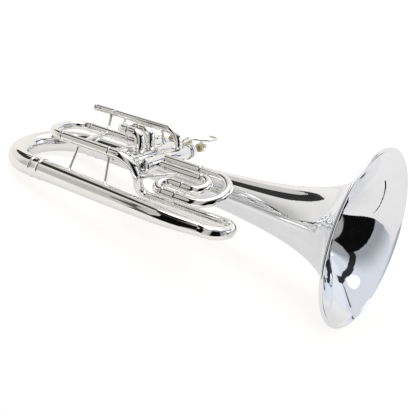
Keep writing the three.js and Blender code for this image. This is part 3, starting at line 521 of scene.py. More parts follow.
def fit(cad_node, *meshes, material=silver_plate, slot="silver"):
    """The finished piece, made of meshes, in the place of a CAD node."""
    joined = bmesh.new()
    for mesh in meshes:
        joined.from_mesh(mesh)
        bpy.data.meshes.remove(mesh)
    bmesh.ops.recalc_face_normals(joined, faces=joined.faces)
    for face in joined.faces:
        face.smooth = True
        face.material_index = 0
    shape = bpy.data.meshes.new(cad_node + "_shape")
    joined.to_mesh(shape)
    joined.free()
    for spare in [a.name for a in shape.attributes if a.name in (RADIUS, BAND)]:
        shape.attributes.remove(shape.attributes[spare])
    shape.materials.clear()
    shape.materials.append(material)
    shape.set_sharp_from_angle(angle=SOFT_ANGLE)
    piece = placed(cad_node + "_made", shape)
    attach(piece, body_of(cad_node))
    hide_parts(cad_node)
    made_pieces.append(piece)
    return piece


# %% [markdown]
# ## Bell
# The bell is spun from sheet brass over a mandrel. Its flare follows a power law: narrow for half its length,
# then opening ever faster to a rim 280 mm across, where the edge is rolled round a wire. The rows are spaced
# evenly in the law's own measure, so that they crowd where the flare is steep.

# %% Bell
RIM, RIM_X, TAIL_X = 139.7, 6.4, -534
THROAT, POWER = 33, 0.72
HEAVY_SHEET, BEAD = 1.1, 2.6
BELL_ROWS, BELL_SIDES = 90, 160
BEAD_TURN, BEAD_STEP = 140, 10      # degrees of the rolled edge to each side of its outermost point
STEP = 0.01


def flare(x):
    return RIM * (1 + (RIM_X - x) / THROAT) ** -POWER


def flare_normal(x):
    slope = (flare(x + STEP) - flare(x - STEP)) / (2 * STEP)
    return Vector((-slope, 1)).normalized()


reach = 1 + (RIM_X - TAIL_X) / THROAT
spread = [RIM_X - THROAT * (reach ** (k / BELL_ROWS) - 1) for k in range(BELL_ROWS + 1)]
bell_x = [x for x in spread if x < RIM_X - 2.2]
inner_rows = [Vector((x, flare(x))) for x in bell_x]
outer_rows = [Vector((x, flare(x))) + flare_normal(x) * HEAVY_SHEET for x in bell_x]
outer_rows[-1] = Vector((TAIL_X, flare(TAIL_X) + HEAVY_SHEET))
bead_rows = []
for degrees in range(-BEAD_TURN, BEAD_TURN + 1, BEAD_STEP):
    angle = math.radians(degrees)
    bead_rows.append(Vector((RIM_X - BEAD * (1 - math.sin(angle)), RIM - BEAD + BEAD * math.cos(angle))))
bell_outline = [(p.x - TAIL_X, p.y) for p in outer_rows[::-1] + bead_rows + inner_rows]
fit("bell", turned(at(TAIL_X, 0, 0), FORWARD, bell_outline, sides=BELL_SIDES, ease=0), material=bell_plate)
print("bell rim radius:", RIM, "mm, tail radius:", round(flare(TAIL_X), 2), "mm")

# %% [markdown]
# ## Big bow, bottom branch and front bow
# Behind the bell the tube turns right round in the big bow, runs forward along the bottom as a slowly
# tapering branch, turns up in the small front bow and comes back to the valves. The bow and the branch are
# widest, so they get the most sides.

# %% Big bow and bottom branch
BOW_WIDTH, BOW_START, NEAR_END, NEAR_RADIUS = 149.5, -543, -523, 17.5
BOW_DROP = 0.074
WIDE, MIDDLING = 72, 56             # sides of the widest tubes and of the crooks
BRANCH_TAPER = [(NEAR_END, NEAR_RADIUS), (-383, 16.4), (-259, 13.8), (-190, 10.9)]
BRANCH_BEND, BRANCH_PARTS = 260, 4


def along_table(table, x):
    for (x0, r0), (x1, r1) in zip(table, table[1:]):
        if x <= x1 + NOTHING:
            return r0 + (r1 - r0) * (x - x0) / (x1 - x0)
    return table[-1][1]


across = at(0, -1, -BOW_DROP).normalized()
bow_path = bow(at(BOW_START, 0, 0), BACKWARD, across, BOW_WIDTH / 2, TAIL_X - BOW_START, NEAR_END - BOW_START)
bow_radii = tapered(bow_path, flare(TAIL_X) + HEAVY_SHEET, NEAR_RADIUS)
fit("main_bow", drawn((bow_path, bow_radii), wall=HEAVY_SHEET, sides=WIDE))

near = at(NEAR_END, bow_path[-1].y, bow_path[-1].z)
branch_knee, branch_front = at(-245, -157.5, near.z), at(-190, -150.5, near.z)
halfway = at(-383, (near.y + branch_knee.y) / 2, near.z)
branch = bent(near, (halfway, BRANCH_BEND), (branch_knee, BRANCH_BEND), branch_front)
branch = [p for a, b in zip(branch, branch[1:]) for p in divided(a, b, BRANCH_PARTS)[:-1]] + [branch_front]
branch_radii = [along_table(BRANCH_TAPER, p.x) for p in branch]
fit("bottom_branch", drawn((branch, branch_radii), wall=HEAVY_SHEET, sides=WIDE))
print("bottom branch:", len(branch), "stations")

# %% Front bow, return branch and neck
return_front = at(-190, -98, -12)
front_across = return_front - branch_front
front_path = bow(at(-185, branch_front.y, branch_front.z), FORWARD, front_across.normalized(),
                 front_across.length / 2, 5, 5)
fit("front_bow", drawn((front_path, tapered(front_path, 10.9, 9)), sides=MIDDLING))

neck_foot, neck_end = at(-343, -103, -12), at(-317, -103, -12)
return_path = divided(return_front, neck_end, 6)
fit("return_branch", drawn((return_path, tapered(return_path, 9, 8))))
neck_path = bent(at(-396, -122, 46), (at(-345, -122, 46), 36), (neck_foot, 17), neck_end)
fit("neck", drawn((neck_path, 8.0)))
print("main tubes:", [p.name for p in made_pieces])

# %% [markdown]
# The bow is joined to the bell and to the branch by ferrules: short sleeves with a raised bead at each end
# and a hollow waist between, turned from thick tube and soldered over the joint.

# %% Ferrules
FERRULE, FERRULE_RISE, FERRULE_EDGE = 22, 1.5, 3.6


def ferrule(cad_node, centre, inner):
    low, high = inner + 0.45, inner + FERRULE_RISE
    half = [(0, inner - 0.5), (0, high - 0.5), (FERRULE_EDGE * 0.5, high), (FERRULE_EDGE, high - 0.5),
            (FERRULE_EDGE * 1.25, low + 0.15)]
    rows = half + [(FERRULE / 2, low - 0.1)] + [(FERRULE - x, r) for x, r in reversed(half)]
    fit(cad_node, turned(centre - FORWARD * FERRULE / 2, FORWARD, rows, sides=96, ease=0.9))


ferrule("big_bow_ferrule", near, NEAR_RADIUS)
ferrule("bell_ferrule", at(TAIL_X, 0, 0), flare(TAIL_X + FERRULE / 2) + HEAVY_SHEET)
print("ferrules:", made_pieces[-2].name, made_pieces[-1].name)

# %% [markdown]
# ## Valves
# Each valve is a brass cylinder with a screw cap at both ends. The caps' rims are knurled so that fingers
# can turn them: a hundred small ridges, which is a job for instances. The tree puts one ridge on each point
# of a circle, and the finished ring is then moved on to the cap.

# %% The tree for knurled rims
RIDGE_MM = 0.75


def knurled_rim_tree():
    tree, given = new_tree("knurled rim", [
        ("Count", "Int", 90), ("Radius", "Float", 13.0), ("Length", "Float", 3.0),
        ("Ridge", "Float", RIDGE_MM), ("Material", "Material", None)])
    ring = node(tree, "MeshCircle", {"Vertices": given["Count"], "Radius": given["Radius"]})
    half = node(tree, "ShaderNodeMath", (given["Ridge"], 0.5), operation="MULTIPLY")
    ridge = node(tree, "MeshCylinder", {"Vertices": 6, "Radius": half, "Depth": given["Length"]},
                 fill_type="NGON")
    end_tree(tree, node(tree, "InstanceOnPoints", {"Points": ring, "Instance": ridge}), given)
    return tree


knurl_tree = knurled_rim_tree()


def knurled(centre, axis, radius, length, count):
    """A ring of ridges about an axis."""
    mesh = run_tree(knurl_tree, bpy.data.meshes.new("empty"), count=count, radius=radius, length=length,
                    ridge=RIDGE_MM, material=silver_plate)
    turn = RIGHT.rotation_difference(axis).to_matrix().to_4x4()
    mesh.transform(to_frame @ Matrix.Translation(centre) @ turn)
    return mesh


print("knurl tree:", len(knurl_tree.nodes), "nodes")

# %% Casings and caps
VALVE_X = [-399, -369.5, -340]
VALVE_SIDE, CASING, CASING_WALL = 40.6, 11.5, 1.2
CASING_FOOT, CASING_TOP = -103, 13
CAP_BASE, CAP_TOP_BASE = -108, 7


def on_valve(i, y):
    """The point at height y on the axis of valve i."""
    return at(VALVE_X[i], y * math.cos(VALVE_LEAN), VALVE_SIDE + y * math.sin(VALVE_LEAN))


valve_axis = (on_valve(0, 1) - on_valve(0, 0)).normalized()
bore, thread, length = CASING - CASING_WALL, CASING - 0.4, CASING_TOP - CASING_FOOT
for i in range(3):
    fit(f"valve_casing_{i + 1}", turned(on_valve(i, CASING_FOOT), valve_axis, [
        (0, bore), (0, thread), (9, thread), (9, CASING), (length - 6, CASING), (length - 6, thread),
        (length, thread), (length, bore)], sides=96, ease=0.15))
    bottom = turned(on_valve(i, CAP_BASE), valve_axis, [
        (1.1, 0), (0.9, 4.2), (0.25, 5.2), (0, 6.6), (0.1, 8.4), (1.2, 10.6), (2.4, 12.2), (4.2, 12.2),
        (4.8, 12.5), (12.8, 12.5), (13.6, 12.0), (13.7, thread + 0.2), (2.2, thread + 0.2), (2.2, 0)],
        sides=96, ease=0.5)
    fit(f"bottom_cap_{i + 1}", bottom, knurled(on_valve(i, CAP_BASE + 3.4), valve_axis, 12.25, 1.9, 96))
    lid = turned(on_valve(i, CAP_TOP_BASE), valve_axis, [
        (0.3, thread + 0.2), (0.3, 12.9), (0.9, 13.2), (4.6, 13.2), (5.2, 12.7), (11.5, 12.5), (14.4, 11.6),
        (16.6, 9.4), (17.6, 6.9), (19.2, 6.2), (19.7, 5.2), (19.7, 3.3), (16.6, 3.3), (16.4, 8.2),
        (12.4, thread + 0.2)], sides=96, ease=0.6)
    fit(f"top_cap_{i + 1}", lid, knurled(on_valve(i, CAP_TOP_BASE + 2.8), valve_axis, 13.25, 3.2, 104))
print("valves: casings and caps for", len(VALVE_X))

# %% [markdown]
# ## Pistons, buttons and springs
# A piston slides in each casing and carries the stem, whose finger button is a silver dish that holds a
# pearl disc. The felt under the button softens its landing. All are turned about the valve's own axis.

# %% Pistons, buttons, pearls and felts
PISTON_FOOT, PISTON_TOP, STEM_TOP = -87, -12, 49
STEM, STEM_RING, PISTON = 2.5, 23.7 - PISTON_FOOT, bore - 0.3

height, reach_up = PISTON_TOP - PISTON_FOOT, STEM_TOP - PISTON_FOOT
for i in range(3):
    body = turned(on_valve(i, PISTON_FOOT), valve_axis, [
        (26, 0), (26, PISTON - 1.4), (0, PISTON - 1.4), (0, PISTON), (height, PISTON), (height, STEM),
        (STEM_RING - 2, STEM), (STEM_RING - 2, 7), (STEM_RING, 7), (STEM_RING, STEM), (reach_up, STEM),
        (reach_up, 0)], sides=64, ease=0.25)
    fit(f"piston_{i + 1}", body, material=nickel_plate, slot="nickel")
    fit(f"finger_button_{i + 1}", turned(on_valve(i, STEM_TOP - 4), valve_axis, [
        (0, 2.8), (0, 3.6), (0.5, 4.0), (3.0, 3.9), (3.8, 5.2), (4.4, 7.4), (5.2, 8.9), (6.4, 9.4),
        (8.0, 9.4), (8.8, 9.0), (9.0, 8.4), (8.9, 7.9), (7.5, 7.9), (7.5, 0), (4.3, 0), (4.3, 2.8)],
        sides=72, ease=0.35))
    disc = turned(on_valve(i, STEM_TOP + 3.8), valve_axis, [
        (0, 0), (0, 7.55), (0.8, 7.6), (1.4, 7.3), (1.75, 6.2), (2.0, 4.2), (2.12, 2.0), (2.15, 0)],
        sides=72, ease=0.2)
    fit(f"pearl_{i + 1}", disc, material=pearl, slot="pearl")
    washer = turned(on_valve(i, STEM_TOP - 6.7), valve_axis, [
        (0, 2.8), (0, 7.2), (0.5, 7.6), (1.9, 7.6), (2.4, 7.2), (2.4, 2.8)], sides=48, ease=0.4)
    fit(f"button_felt_{i + 1}", washer, material=felt, slot="felt")
print("pieces so far:", len(made_pieces))

# %% [markdown]
# Under each piston a coil of steel wire stands on the bottom cap and reaches into the piston's hollow. It is
# a path like any other: a helix for the same tree. Each spring gets a mesh of its own.

# %% Valve springs
COIL, COIL_WIRE, COIL_TURNS, TURN_STATIONS = 6.5, 0.75, 8, 24
COIL_FOOT, COIL_HEAD = CAP_BASE + 3.1, PISTON_FOOT + 24.9


def coil_path(i):
    stations, over = [], valve_axis.cross(FORWARD)
    for k in range(COIL_TURNS * TURN_STATIONS + 1):
        angle = 2 * math.pi * k / TURN_STATIONS
        climb = COIL_FOOT + (COIL_HEAD - COIL_FOOT) * k / (COIL_TURNS * TURN_STATIONS)
        stations.append(on_valve(i, climb) + (FORWARD * math.cos(angle) - over * math.sin(angle)) * COIL)
    return stations


for i in range(3):
    coil = drawn((coil_path(i), COIL_WIRE), wall=0, sides=12, material=spring_wire)
    spring = fit(f"valve_spring_{i + 1}", coil, material=spring_wire, slot="spring_steel")
    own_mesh(spring)

# %% [markdown]
# ## Tubes that end on a casing
# A branch tube meets a casing at its side. Its end is filed to the casing's curve, so each point of the end
# is drawn back along the tube until it lies in the casing's wall, clear of the piston inside.

# %% Filing an end to a casing
FILED_DEPTH = 0.4


def filed(mesh, i, outwards):
    """Draws the points inside casing i back along outwards until they lie just under its surface."""
    inverse = to_frame.inverted()
    foot, surface = on_valve(i, 0), CASING - FILED_DEPTH
    flat = outwards - valve_axis * outwards.dot(valve_axis)
    for vertex in mesh.vertices:
        here = inverse @ vertex.co
        away = here - foot
        off = away - valve_axis * away.dot(valve_axis)
        if off.length < surface:
            a, b, c = flat.dot(flat), 2 * off.dot(flat), off.dot(off) - surface ** 2
            step = (-b + math.sqrt(b * b - 4 * a * c)) / (2 * a)
            vertex.co = to_frame @ (here + outwards * step)
    return mesh


print("ends are filed to", FILED_DEPTH, "mm under a casing's surface")

# %% [markdown]
# ## Main tuning slide
# The big crook at the back pulls out of two sleeves to tune the whole horn. Each sleeve has a band at its
# mouth, and a second one where it meets the next tube. A leg runs inside each sleeve, so the legs are
# separate runs of the same piece as the crook.

# %% Sleeves of the main slide
LOW_Y, HIGH_Y, MAIN_Z = -122, -38, 46
BAND_IN = 2                             # from a sleeve's mouth to the middle of its band
GAP, LEG_START = 0.3, 3.3               # a crook stops short of the mouth, and its legs begin inside it
LOW_MOUTH, HIGH_MOUTH = -502, -515


def low(x):
    return at(x, LOW_Y, MAIN_Z)


def high(x):
    return at(x, HIGH_Y, MAIN_Z)


# The lower sleeve's second band sits on a short lining, a hair narrower than the sleeve.
lower = [low(LOW_MOUTH), low(LOW_MOUTH + BAND_IN), low(-400), low(-396)]
lining = [low(-400), low(-398), low(-396)]
fit("main_slide_sleeve_lower", drawn((lower, SLEEVE, (1,)), (lining, SLEEVE - 0.01, (1,))))
corner, end = high(-406.6), on_valve(0, HIGH_Y)
upper = [high(HIGH_MOUTH), high(HIGH_MOUTH + BAND_IN), high(-428), *bent(high(-427), (corner, 14), end)]
fit("main_slide_sleeve_upper", filed(drawn((upper, SLEEVE, (1, 2))), 0, (corner - end).normalized()))
print("main slide sleeves:", len(lower), "and", len(upper), "stations")

# %% [markdown]
# A water key sits on the left face of the crook: a nipple over a small hole, and a lever on a pin between two
# posts. A cork in the lever's cup closes the nipple, and the finger pad at the other end opens it.

# %% Main tuning slide
TIP, KEY_Z = -545, 31
CUP_RISE, CUP_DEPTH, CORK_THICK = 0.6, 1.6, 2.2         # the lever's cup, above its middle line
PIN_HALF, POST_OFF, BARREL_HALF = 6, 5, 3               # along the pin, from its middle


def at_height(place, z):
    return at(place.x, place.y, z)


crook = bent(low(LOW_MOUTH - GAP), (low(TIP), 42), (high(TIP), 28), high(HIGH_MOUTH - GAP))
legs = [([low(LOW_MOUTH - LEG_START), low(-458)], LEG), ([high(HIGH_MOUTH - LEG_START), high(-471)], LEG)]
key_foot, key_head = at(TIP + 6.8, -106, KEY_Z), at(TIP - 0.8, -66, KEY_Z)
pin_line = (key_head - key_foot).normalized().cross(RIGHT)
hinge = key_foot.lerp(key_head, 0.45)
nipple_foot = MAIN_Z - CROOK + SHEET
cork_foot = KEY_Z + CUP_RISE + CUP_DEPTH + GAP
nipple_length = nipple_foot - (cork_foot + CORK_THICK) - GAP
nipple = turned(at_height(key_foot, nipple_foot), -RIGHT, [
    (0, 1.2), (0, 3.6), (1.2, 3.2), (nipple_length - 0.4, 2.9), (nipple_length, 2.5), (nipple_length, 1.2)],
    sides=40)
posts = [turned(at_height(hinge + pin_line * off, MAIN_Z - CROOK * 0.6), -RIGHT, [
    (0, 0), (0, 2.4), (3.4, 1.7), (7.6, 1.5), (8.4, 2.0), (11.0, 2.0), (12.0, 1.2), (12.3, 0)],
    sides=32) for off in (-POST_OFF, POST_OFF)]
pin = turned(hinge - pin_line * PIN_HALF, pin_line, [
    (0, 0), (0, 1.6), (1.2, 1.6), (1.3, 1.0), (11, 1.0), (12, 0.9), (12, 0)],
    sides=24, ease=0.2)
fit("main_tuning_slide", drawn((crook, CROOK), sides=MIDDLING), drawn(*legs), nipple, *posts, pin)
print("nipple:", round(nipple_length, 2), "mm long")

# %% Water key
lever_radii = [1.5, 1.5, 1.6, 1.8, 2.0, 2.1, 2.0, 1.8, 1.6, 1.5, 1.4, 1.4, 1.4]
lever = drawn((divided(key_foot, key_head, 12), lever_radii), wall=0, sides=24, material=nickel_plate)
barrel = turned(hinge - pin_line * BARREL_HALF, pin_line, [(0, 1.3), (0, 2.8), (6, 2.8), (6, 1.3)], sides=40)
pad = turned(at_height(key_head, KEY_Z - 0.8), RIGHT, [
    (0.5, 0), (0.2, 2.6), (0, 4.2), (0.3, 5.0), (1.1, 5.0), (1.6, 4.4), (1.6, 0)], sides=48)
cup = turned(at_height(key_foot, KEY_Z + CUP_RISE), RIGHT, [
    (0, 0), (0, 2.8), (0.5, 3.7), (CUP_DEPTH, 3.8), (CUP_DEPTH, 0)], sides=40)
fit("water_key_lever", lever, barrel, pad, cup, material=nickel_plate, slot="nickel")
stopper = turned(at_height(key_foot, cork_foot), RIGHT, [
    (0, 0), (0, 3.1), (1.9, 3.2), (CORK_THICK, 2.9), (CORK_THICK, 0)], sides=40)
fit("water_key_cork", stopper, material=cork, slot="cork")
print("main slide and water key ready")

# %% [markdown]
# ## Struts
# Soldered struts hold the tubes apart. Each is turned slim in the middle and flares into a foot at both
# ends, so one table of radii along a straight path describes them all.

# %% Struts
THIN, STOUT, FOOT = 2.1, 2.8, 4.3       # radii
FOOT_LENGTH, STRUT_PARTS = 7, 40


def strut(cad_node, start, end, radius, from_start, from_end):
    """A strut between two centre lines, kept from_start and from_end away from them."""
    way = (end - start).normalized()
    a, b = start + way * from_start, end - way * from_end
    length = (b - a).length
    foot_length = min(FOOT_LENGTH, length * 0.35)
    places, radii = [], []
    for k in range(STRUT_PARTS + 1):
        s = length * k / STRUT_PARTS
        share = max(0, 1 - min(s, length - s) / foot_length)
        places.append(a + way * s)
        radii.append(radius + (FOOT - radius) * share ** 2.2)
    fit(cad_node, drawn((places, radii), wall=0, sides=32))


def branch_line(x):
    return near.lerp(branch_knee, (x - near.x) / (branch_knee.x - near.x))


# The loop of the third slide lies in a tilted plane, whose points are given by x and the drop below its top.
SPIRAL_TILT = math.radians(20.8)
SPIRAL_Y, BELL_STRUT_X = -57, -292
DOWN_SPIRAL = at(0, -math.cos(SPIRAL_TILT), -math.sin(SPIRAL_TILT))


def spiral(x, drop):
    return at(x, SPIRAL_Y, VALVE_SIDE) + DOWN_SPIRAL * drop


strut("main_slide_brace", low(-463), high(-474), STOUT, 6.9, 6.9)
strut("rear_strut", low(-461), branch_line(-460), THIN, 6.9, 15.6)
strut("front_strut", low(-397), branch_line(-376), THIN, 7.2, 14.6)
return_at = neck_end.lerp(return_front, (BELL_STRUT_X - neck_end.x) / (return_front.x - neck_end.x))
strut("bell_strut", return_at, at(BELL_STRUT_X, 0, 0), STOUT, 7.0, flare(BELL_STRUT_X) + 0.2)
strut("neck_brace", neck_foot.lerp(low(-345), 0.5), spiral(-281, 17), STOUT, 7.0, 7.0)
print("struts:", [p.name for p in made_pieces[-5:]])

# %% [markdown]
# Two short tubes join the valves side by side, each filed to a casing at both ends. Nothing shows inside
# them, so they are made solid.

# %% Links between the casings
LINK_Y = -46

for i in range(2):
    link = drawn((divided(on_valve(i, LINK_Y), on_valve(i + 1, LINK_Y), 2), LEG), wall=0, sides=40)
    fit(f"valve_link_{i + 1}", filed(filed(link, i, FORWARD), i + 1, BACKWARD))
print("links:", [p.name for p in made_pieces[-2:]])

# %% [markdown]
# ## Leadpipe and receiver
# Air goes in at the receiver, a turned socket with a raised ring at its mouth, and along the leadpipe to the
# third valve.

# %% Leadpipe and receiver
LEAD_Y, LEAD_Z, LEAD_START = -18, 78, -479


def lead(x):
    return at(x, LEAD_Y, LEAD_Z)


fit("mouthpiece_receiver", turned(lead(-525), FORWARD, [
    (0, 5.1), (0, 6.5), (0.5, 6.8), (1.6, 6.8), (2.2, 6.0), (3.4, 5.8), (20, 5.75), (36, 5.8), (42.8, 5.9),
    (44.0, 6.35), (45.4, 6.35), (46, 5.9), (46, 4.4)], sides=64, ease=0.4))
corner, end = lead(VALVE_X[2]), on_valve(2, LEAD_Y)
pipe_path = bent(lead(LEAD_START), (corner, 24), end)
fit("leadpipe", filed(drawn((pipe_path, tapered(pipe_path, 5.6, 6.8))), 2, (corner - end).normalized()))
strut("leadpipe_post_rear", lead(-488), high(-477), STOUT, 5.3, 6.9)
strut("leadpipe_post_front", lead(-376), on_valve(1, LEAD_Y), THIN, 5.4, 10.9)
print("leadpipe:", len(pipe_path), "stations")

# %% [markdown]
# ## First and second valve slides
# Both stand out to the right of their valves. Two sleeves come out of a casing, turn back and end in banded
# mouths, and a short crook pulls out of them. The second slide's crook carries a small pull knob.

# %% First and second slides
SLEEVE_BEND = 12


def short_slide(word, i, side, low_y, high_y, mouth, tip, grip):
    """A slide at z = side on valve i, with its sleeves' mouths at x = mouth and legs grip mm inside them."""
    runs = []
    for name, y in (("low", low_y), ("high", high_y)):
        corner, end = at(VALVE_X[i], y, side), on_valve(i, y)
        path = [at(mouth, y, side), at(mouth + BAND_IN, y, side)]
        path += bent(at(mouth + 2 * BAND_IN, y, side), (corner, SLEEVE_BEND), end)
        fit(f"{word}_slide_sleeve_{name}", filed(drawn((path, SLEEVE, (1,))), i, (corner - end).normalized()))
        runs.append(([at(mouth - LEG_START, y, side), at(mouth + grip, y, side)], LEG))
    radius = (high_y - low_y) / 2
    straight = mouth - GAP - tip - radius
    turn = bow(at(tip + radius, low_y, side), BACKWARD, UPWARD, radius, straight, straight)
    fit(f"{word}_slide", drawn((turn, CROOK), sides=MIDDLING), drawn(*runs))


short_slide("second", 1, 76, -82, -56, -398, -416, 16)
short_slide("first", 0, 52.5, -21, -2.5, -438, -458, 24)
fit("second_slide_knob", turned(at(-416, -69, 76 + 5.2), RIGHT, [
    (0, 0), (0, 3.8), (2.2, 3.6), (3.4, 1.7), (6.0, 1.5), (7.0, 2.4), (8.2, 2.7), (9.6, 2.4), (10.3, 1.2),
    (10.3, 0)], sides=48, ease=0.4))
print("short slides:", [p.name for p in made_pieces[-7:]])

# %% [markdown]
# ## Third valve slide
# The longest valve loop lies as a flat spiral on the right side, tilted by about 21 degrees. The outer crook
# pulls forward. The inner bow and the left bow are fixed, and end in banded mouths.

# %% Third slide
OUTER_MOUTH, LEFT_MOUTH, LEG_GRIP = -262, -256, 28
INNER_X, INNER_DROP, INNER_BOW = -246, 17, 15.5         # where each bow begins to turn, and its radius
LEFT_X, LEFT_DROP, LEFT_BOW = -286, 74, 13
THIRD_X, THIRD_BOW = -231, 37

outer_sleeve = [spiral(x, 0) for x in (VALVE_X[2], OUTER_MOUTH - BAND_IN, OUTER_MOUTH)]
fit("third_slide_sleeve_outer", filed(drawn((outer_sleeve, SLEEVE, (1,))), 2, FORWARD))
inner_bow = bow(spiral(INNER_X, INNER_DROP), FORWARD, DOWN_SPIRAL, INNER_BOW, INNER_X - VALVE_X[2], 19.7)
inner_bow.insert(-1, spiral(-264, INNER_DROP + 2 * INNER_BOW))
inner_bow.insert(1, spiral(-250, INNER_DROP))
fit("third_slide_inner_bow", filed(drawn((inner_bow, SLEEVE, (1, -2))), 2, FORWARD))
left_bow = bow(spiral(LEFT_X, LEFT_DROP), BACKWARD, -DOWN_SPIRAL, LEFT_BOW, LEFT_MOUTH - LEFT_X, 20)
left_bow[1:1] = [spiral(LEFT_MOUTH - BAND_IN, LEFT_DROP), spiral(-282, LEFT_DROP)]
fit("third_slide_left_bow", drawn((left_bow, SLEEVE, (1, 2))))
third_turn = bow(spiral(THIRD_X, 0), FORWARD, DOWN_SPIRAL, THIRD_BOW,
                 THIRD_X - OUTER_MOUTH - GAP, THIRD_X - LEFT_MOUTH - GAP)
third_legs = [([spiral(x + LEG_START, drop), spiral(x - LEG_GRIP, drop)], LEG)
              for x, drop in ((OUTER_MOUTH, 0), (LEFT_MOUTH, LEFT_DROP))]
fit("third_slide", drawn((third_turn, CROOK), sides=MIDDLING), drawn(*third_legs))
print("third slide:", [p.name for p in made_pieces[-4:]])

# %% [markdown]
# ## Finger hook
# A bent rod beside the third valve, for the right hand's little finger. Its tip is rounded.

# %% Finger hook
HOOK, HOOK_BEND = 2.1, 7
HOOK_TIP = [(0.35, 1.95), (0.7, 1.5), (1.0, 0.7)]       # how far past the end, and the radius there

hook_path = bent(on_valve(2, -4), (at(-340, -4, 60), HOOK_BEND), (at(-344, 23, 60), HOOK_BEND),
                 (at(-319, 45, 60), HOOK_BEND), (at(-319, 68, 60), HOOK_BEND), at(-337, 68, 60))
hook_radii = [HOOK] * len(hook_path) + [radius for _, radius in HOOK_TIP]
hook_path += [at(-337 - past, 68, 60) for past, _ in HOOK_TIP]
fit("finger_hook", filed(drawn((hook_path, hook_radii), wall=0, sides=28), 2, RIGHT))
print("pieces:", len(made_pieces), "triangles:",
      sum(len(f.vertices) - 2 for p in made_pieces for f in p.data.polygons))

# %% [markdown]
# ## Floor, light and background
# A mirror shows its surroundings, so the studio is part of the finish. The horn lies on white paper in a
# white tent, with one large soft lamp above. The dark lines along the tubes are the tent's dark strips, which
# give a mirror its edges. The paper glows a little, so that the shadow on it stays faint. A thin dark line is
# painted on the paper for metal only: a painted reflection that shows as a dark line inside the bell.

# %% Floor
# Places and sizes on the floor are in metres.
TABLE_EDGE = [Vector((-0.25, -0.45, 0)), Vector((0.58, -0.276, 0))]
TABLE_REACH, TABLE_SIDE = 5, 4
PAPER_GLOW, PAPER_IN_METAL = 0.74, 0.52     # as the camera sees it, and as the metal does
# The painted dark line, seen only in metal, lies where the place along each direction is near the middle:
# first across it, then along it.
REFLECTED_DARK_LINE = [((0.798, 0.602, 0), 0.5207, 0.007), ((0.602, -0.798, 0), 0.283, 0.178)]

edge_way = (TABLE_EDGE[1] - TABLE_EDGE[0]).normalized()
inward = Vector((-edge_way.y, edge_way.x, 0))
edge_ends = [TABLE_EDGE[0] - edge_way * TABLE_SIDE, TABLE_EDGE[0] + edge_way * TABLE_SIDE]
floor_mesh = bpy.data.meshes.new("floor")
floor_mesh.from_pydata([*edge_ends, edge_ends[1] + inward * TABLE_REACH, edge_ends[0] + inward * TABLE_REACH],
                       [], [(0, 1, 2, 3)])
floor = placed("floor", floor_mesh)

floor_paper, tree, place = new_material("floor_paper_white")
rays = node(tree, "LightPath").outputs
shown = node(tree, "Math", (rays["Is Glossy Ray"], rays["Is Transmission Ray"]), operation="MAXIMUM")
# Painted reflection: a thin dark line on the paper that only reflection rays see, drawn as a line inside the
# bell.
reflected_dark_line = shown
for way, middle, half in REFLECTED_DARK_LINE:
    along = node(tree, "VectorMath", (place, way), operation="DOT_PRODUCT").outputs["Value"]
    within = node(tree, "Math", (along, middle, half), operation="COMPARE")
    reflected_dark_line = node(tree, "Math", (reflected_dark_line, within), operation="MULTIPLY")
tint = node(tree, "Mix", {0: reflected_dark_line, 6: colour("#A8A39C"), 7: colour("#050505")}, data_type="RGBA").outputs[2]
paper = node(tree, "BsdfDiffuse", (tint,))
clear = node(tree, "Math", (shown, reflected_dark_line), operation="SUBTRACT")
in_metal = node(tree, "Math", (clear, PAPER_IN_METAL), operation="MULTIPLY")
lift = node(tree, "Math", (rays["Is Camera Ray"], PAPER_GLOW, in_metal), operation="MULTIPLY_ADD")
glow = node(tree, "Emission", (colour("#FFFFFF"), lift))
node(tree, "OutputMaterial", (node(tree, "AddShader", (paper, glow)),))
floor_mesh.materials.append(floor_paper)
print("floor paper:", len(tree.nodes), "nodes")

# %% [markdown]
# The tent is drawn in the world. Its cloth is paler on some sides than on others. It has a wide dark opening,
# a narrower dark slit with a thin dark line beside it, another thin line at a corner, a dark arch that runs
# round the tent where its roof meets the walls, and a round lamp. All are given by compass direction and
# height in degrees, and show only in the metal. The camera sees plain white behind the horn, and matt
# surfaces are lit by an even soft light.

# %% The tent's measures, in degrees
COMPASS_CUT = 100       # the compass is cut open here, where the tent has no feature
CLOTH = [(0, 0.93), (40, 0.95), (60, 0.9), (68, 0.86), (85, 0.86), (95, 0.82), (105, 0.72), (113, 0.58),
         (120, 0.52), (127, 0.54), (133, 0.6), (160, 0.52), (172, 0.6), (182, 0.56), (190, 0.4), (200, 0.38),
         (244, 0.4), (250, 0.37), (256, 0.38), (262, 0.44), (270, 0.56), (280, 0.74), (290, 0.84),
         (315, 0.82), (324, 0.95), (360, 0.93)]
ARCH = [(0, 21), (40, 21), (52, 20.5), (56, 21.5), (60, 24), (62, 28), (66, 31), (72, 35.5), (80, 40.5),
        (84, 43), (88, 45), (92, 49), (96, 52), (100, 53), (106, 50.5), (112, 48.5), (120, 46.5), (127, 43),
        (180, 46), (240, 53), (256, 51.5), (280, 50), (290, 48), (300, 46), (310, 43.5), (316, 39), (322, 34),
        (328, 32), (360, 30)]
ARCH_HALF = [(0, 2), (40, 1.5), (50, 3), (56, 6), (60, 9), (62, 11.5), (66, 12), (88, 12), (92, 10), (96, 8),
             (104, 7), (127, 7), (180, 5), (320, 5), (360, 5)]
SLIT = [(-40, 147), (18, 147), (28, 143), (36, 138), (43, 131), (50, 124), (70, 120)]
THIN_LINE = [(-40, 136), (0, 134), (8, 130.5), (17, 125.5), (27, 120), (31, 115), (70, 100)]
CORNER = [(-40, 310), (2, 314), (10, 315.7), (19, 318), (26, 320), (31, 322), (70, 335)]
SLIT_HALF, THIN_HALF, CORNER_HALF = 10.5, 0.8, 0.6
SOFTBOX, SOFTBOX_HALF = (301, 31, 0), 9
DARK_CLOTH, DARK_LINE, BLACK, ROOF_SHADE = 0.96, 0.85, 0.004, -0.3

world = bpy.data.worlds.new("white_tent")
bpy.context.scene.world = world
world.use_nodes = True
tree = world.node_tree
tree.nodes.clear()


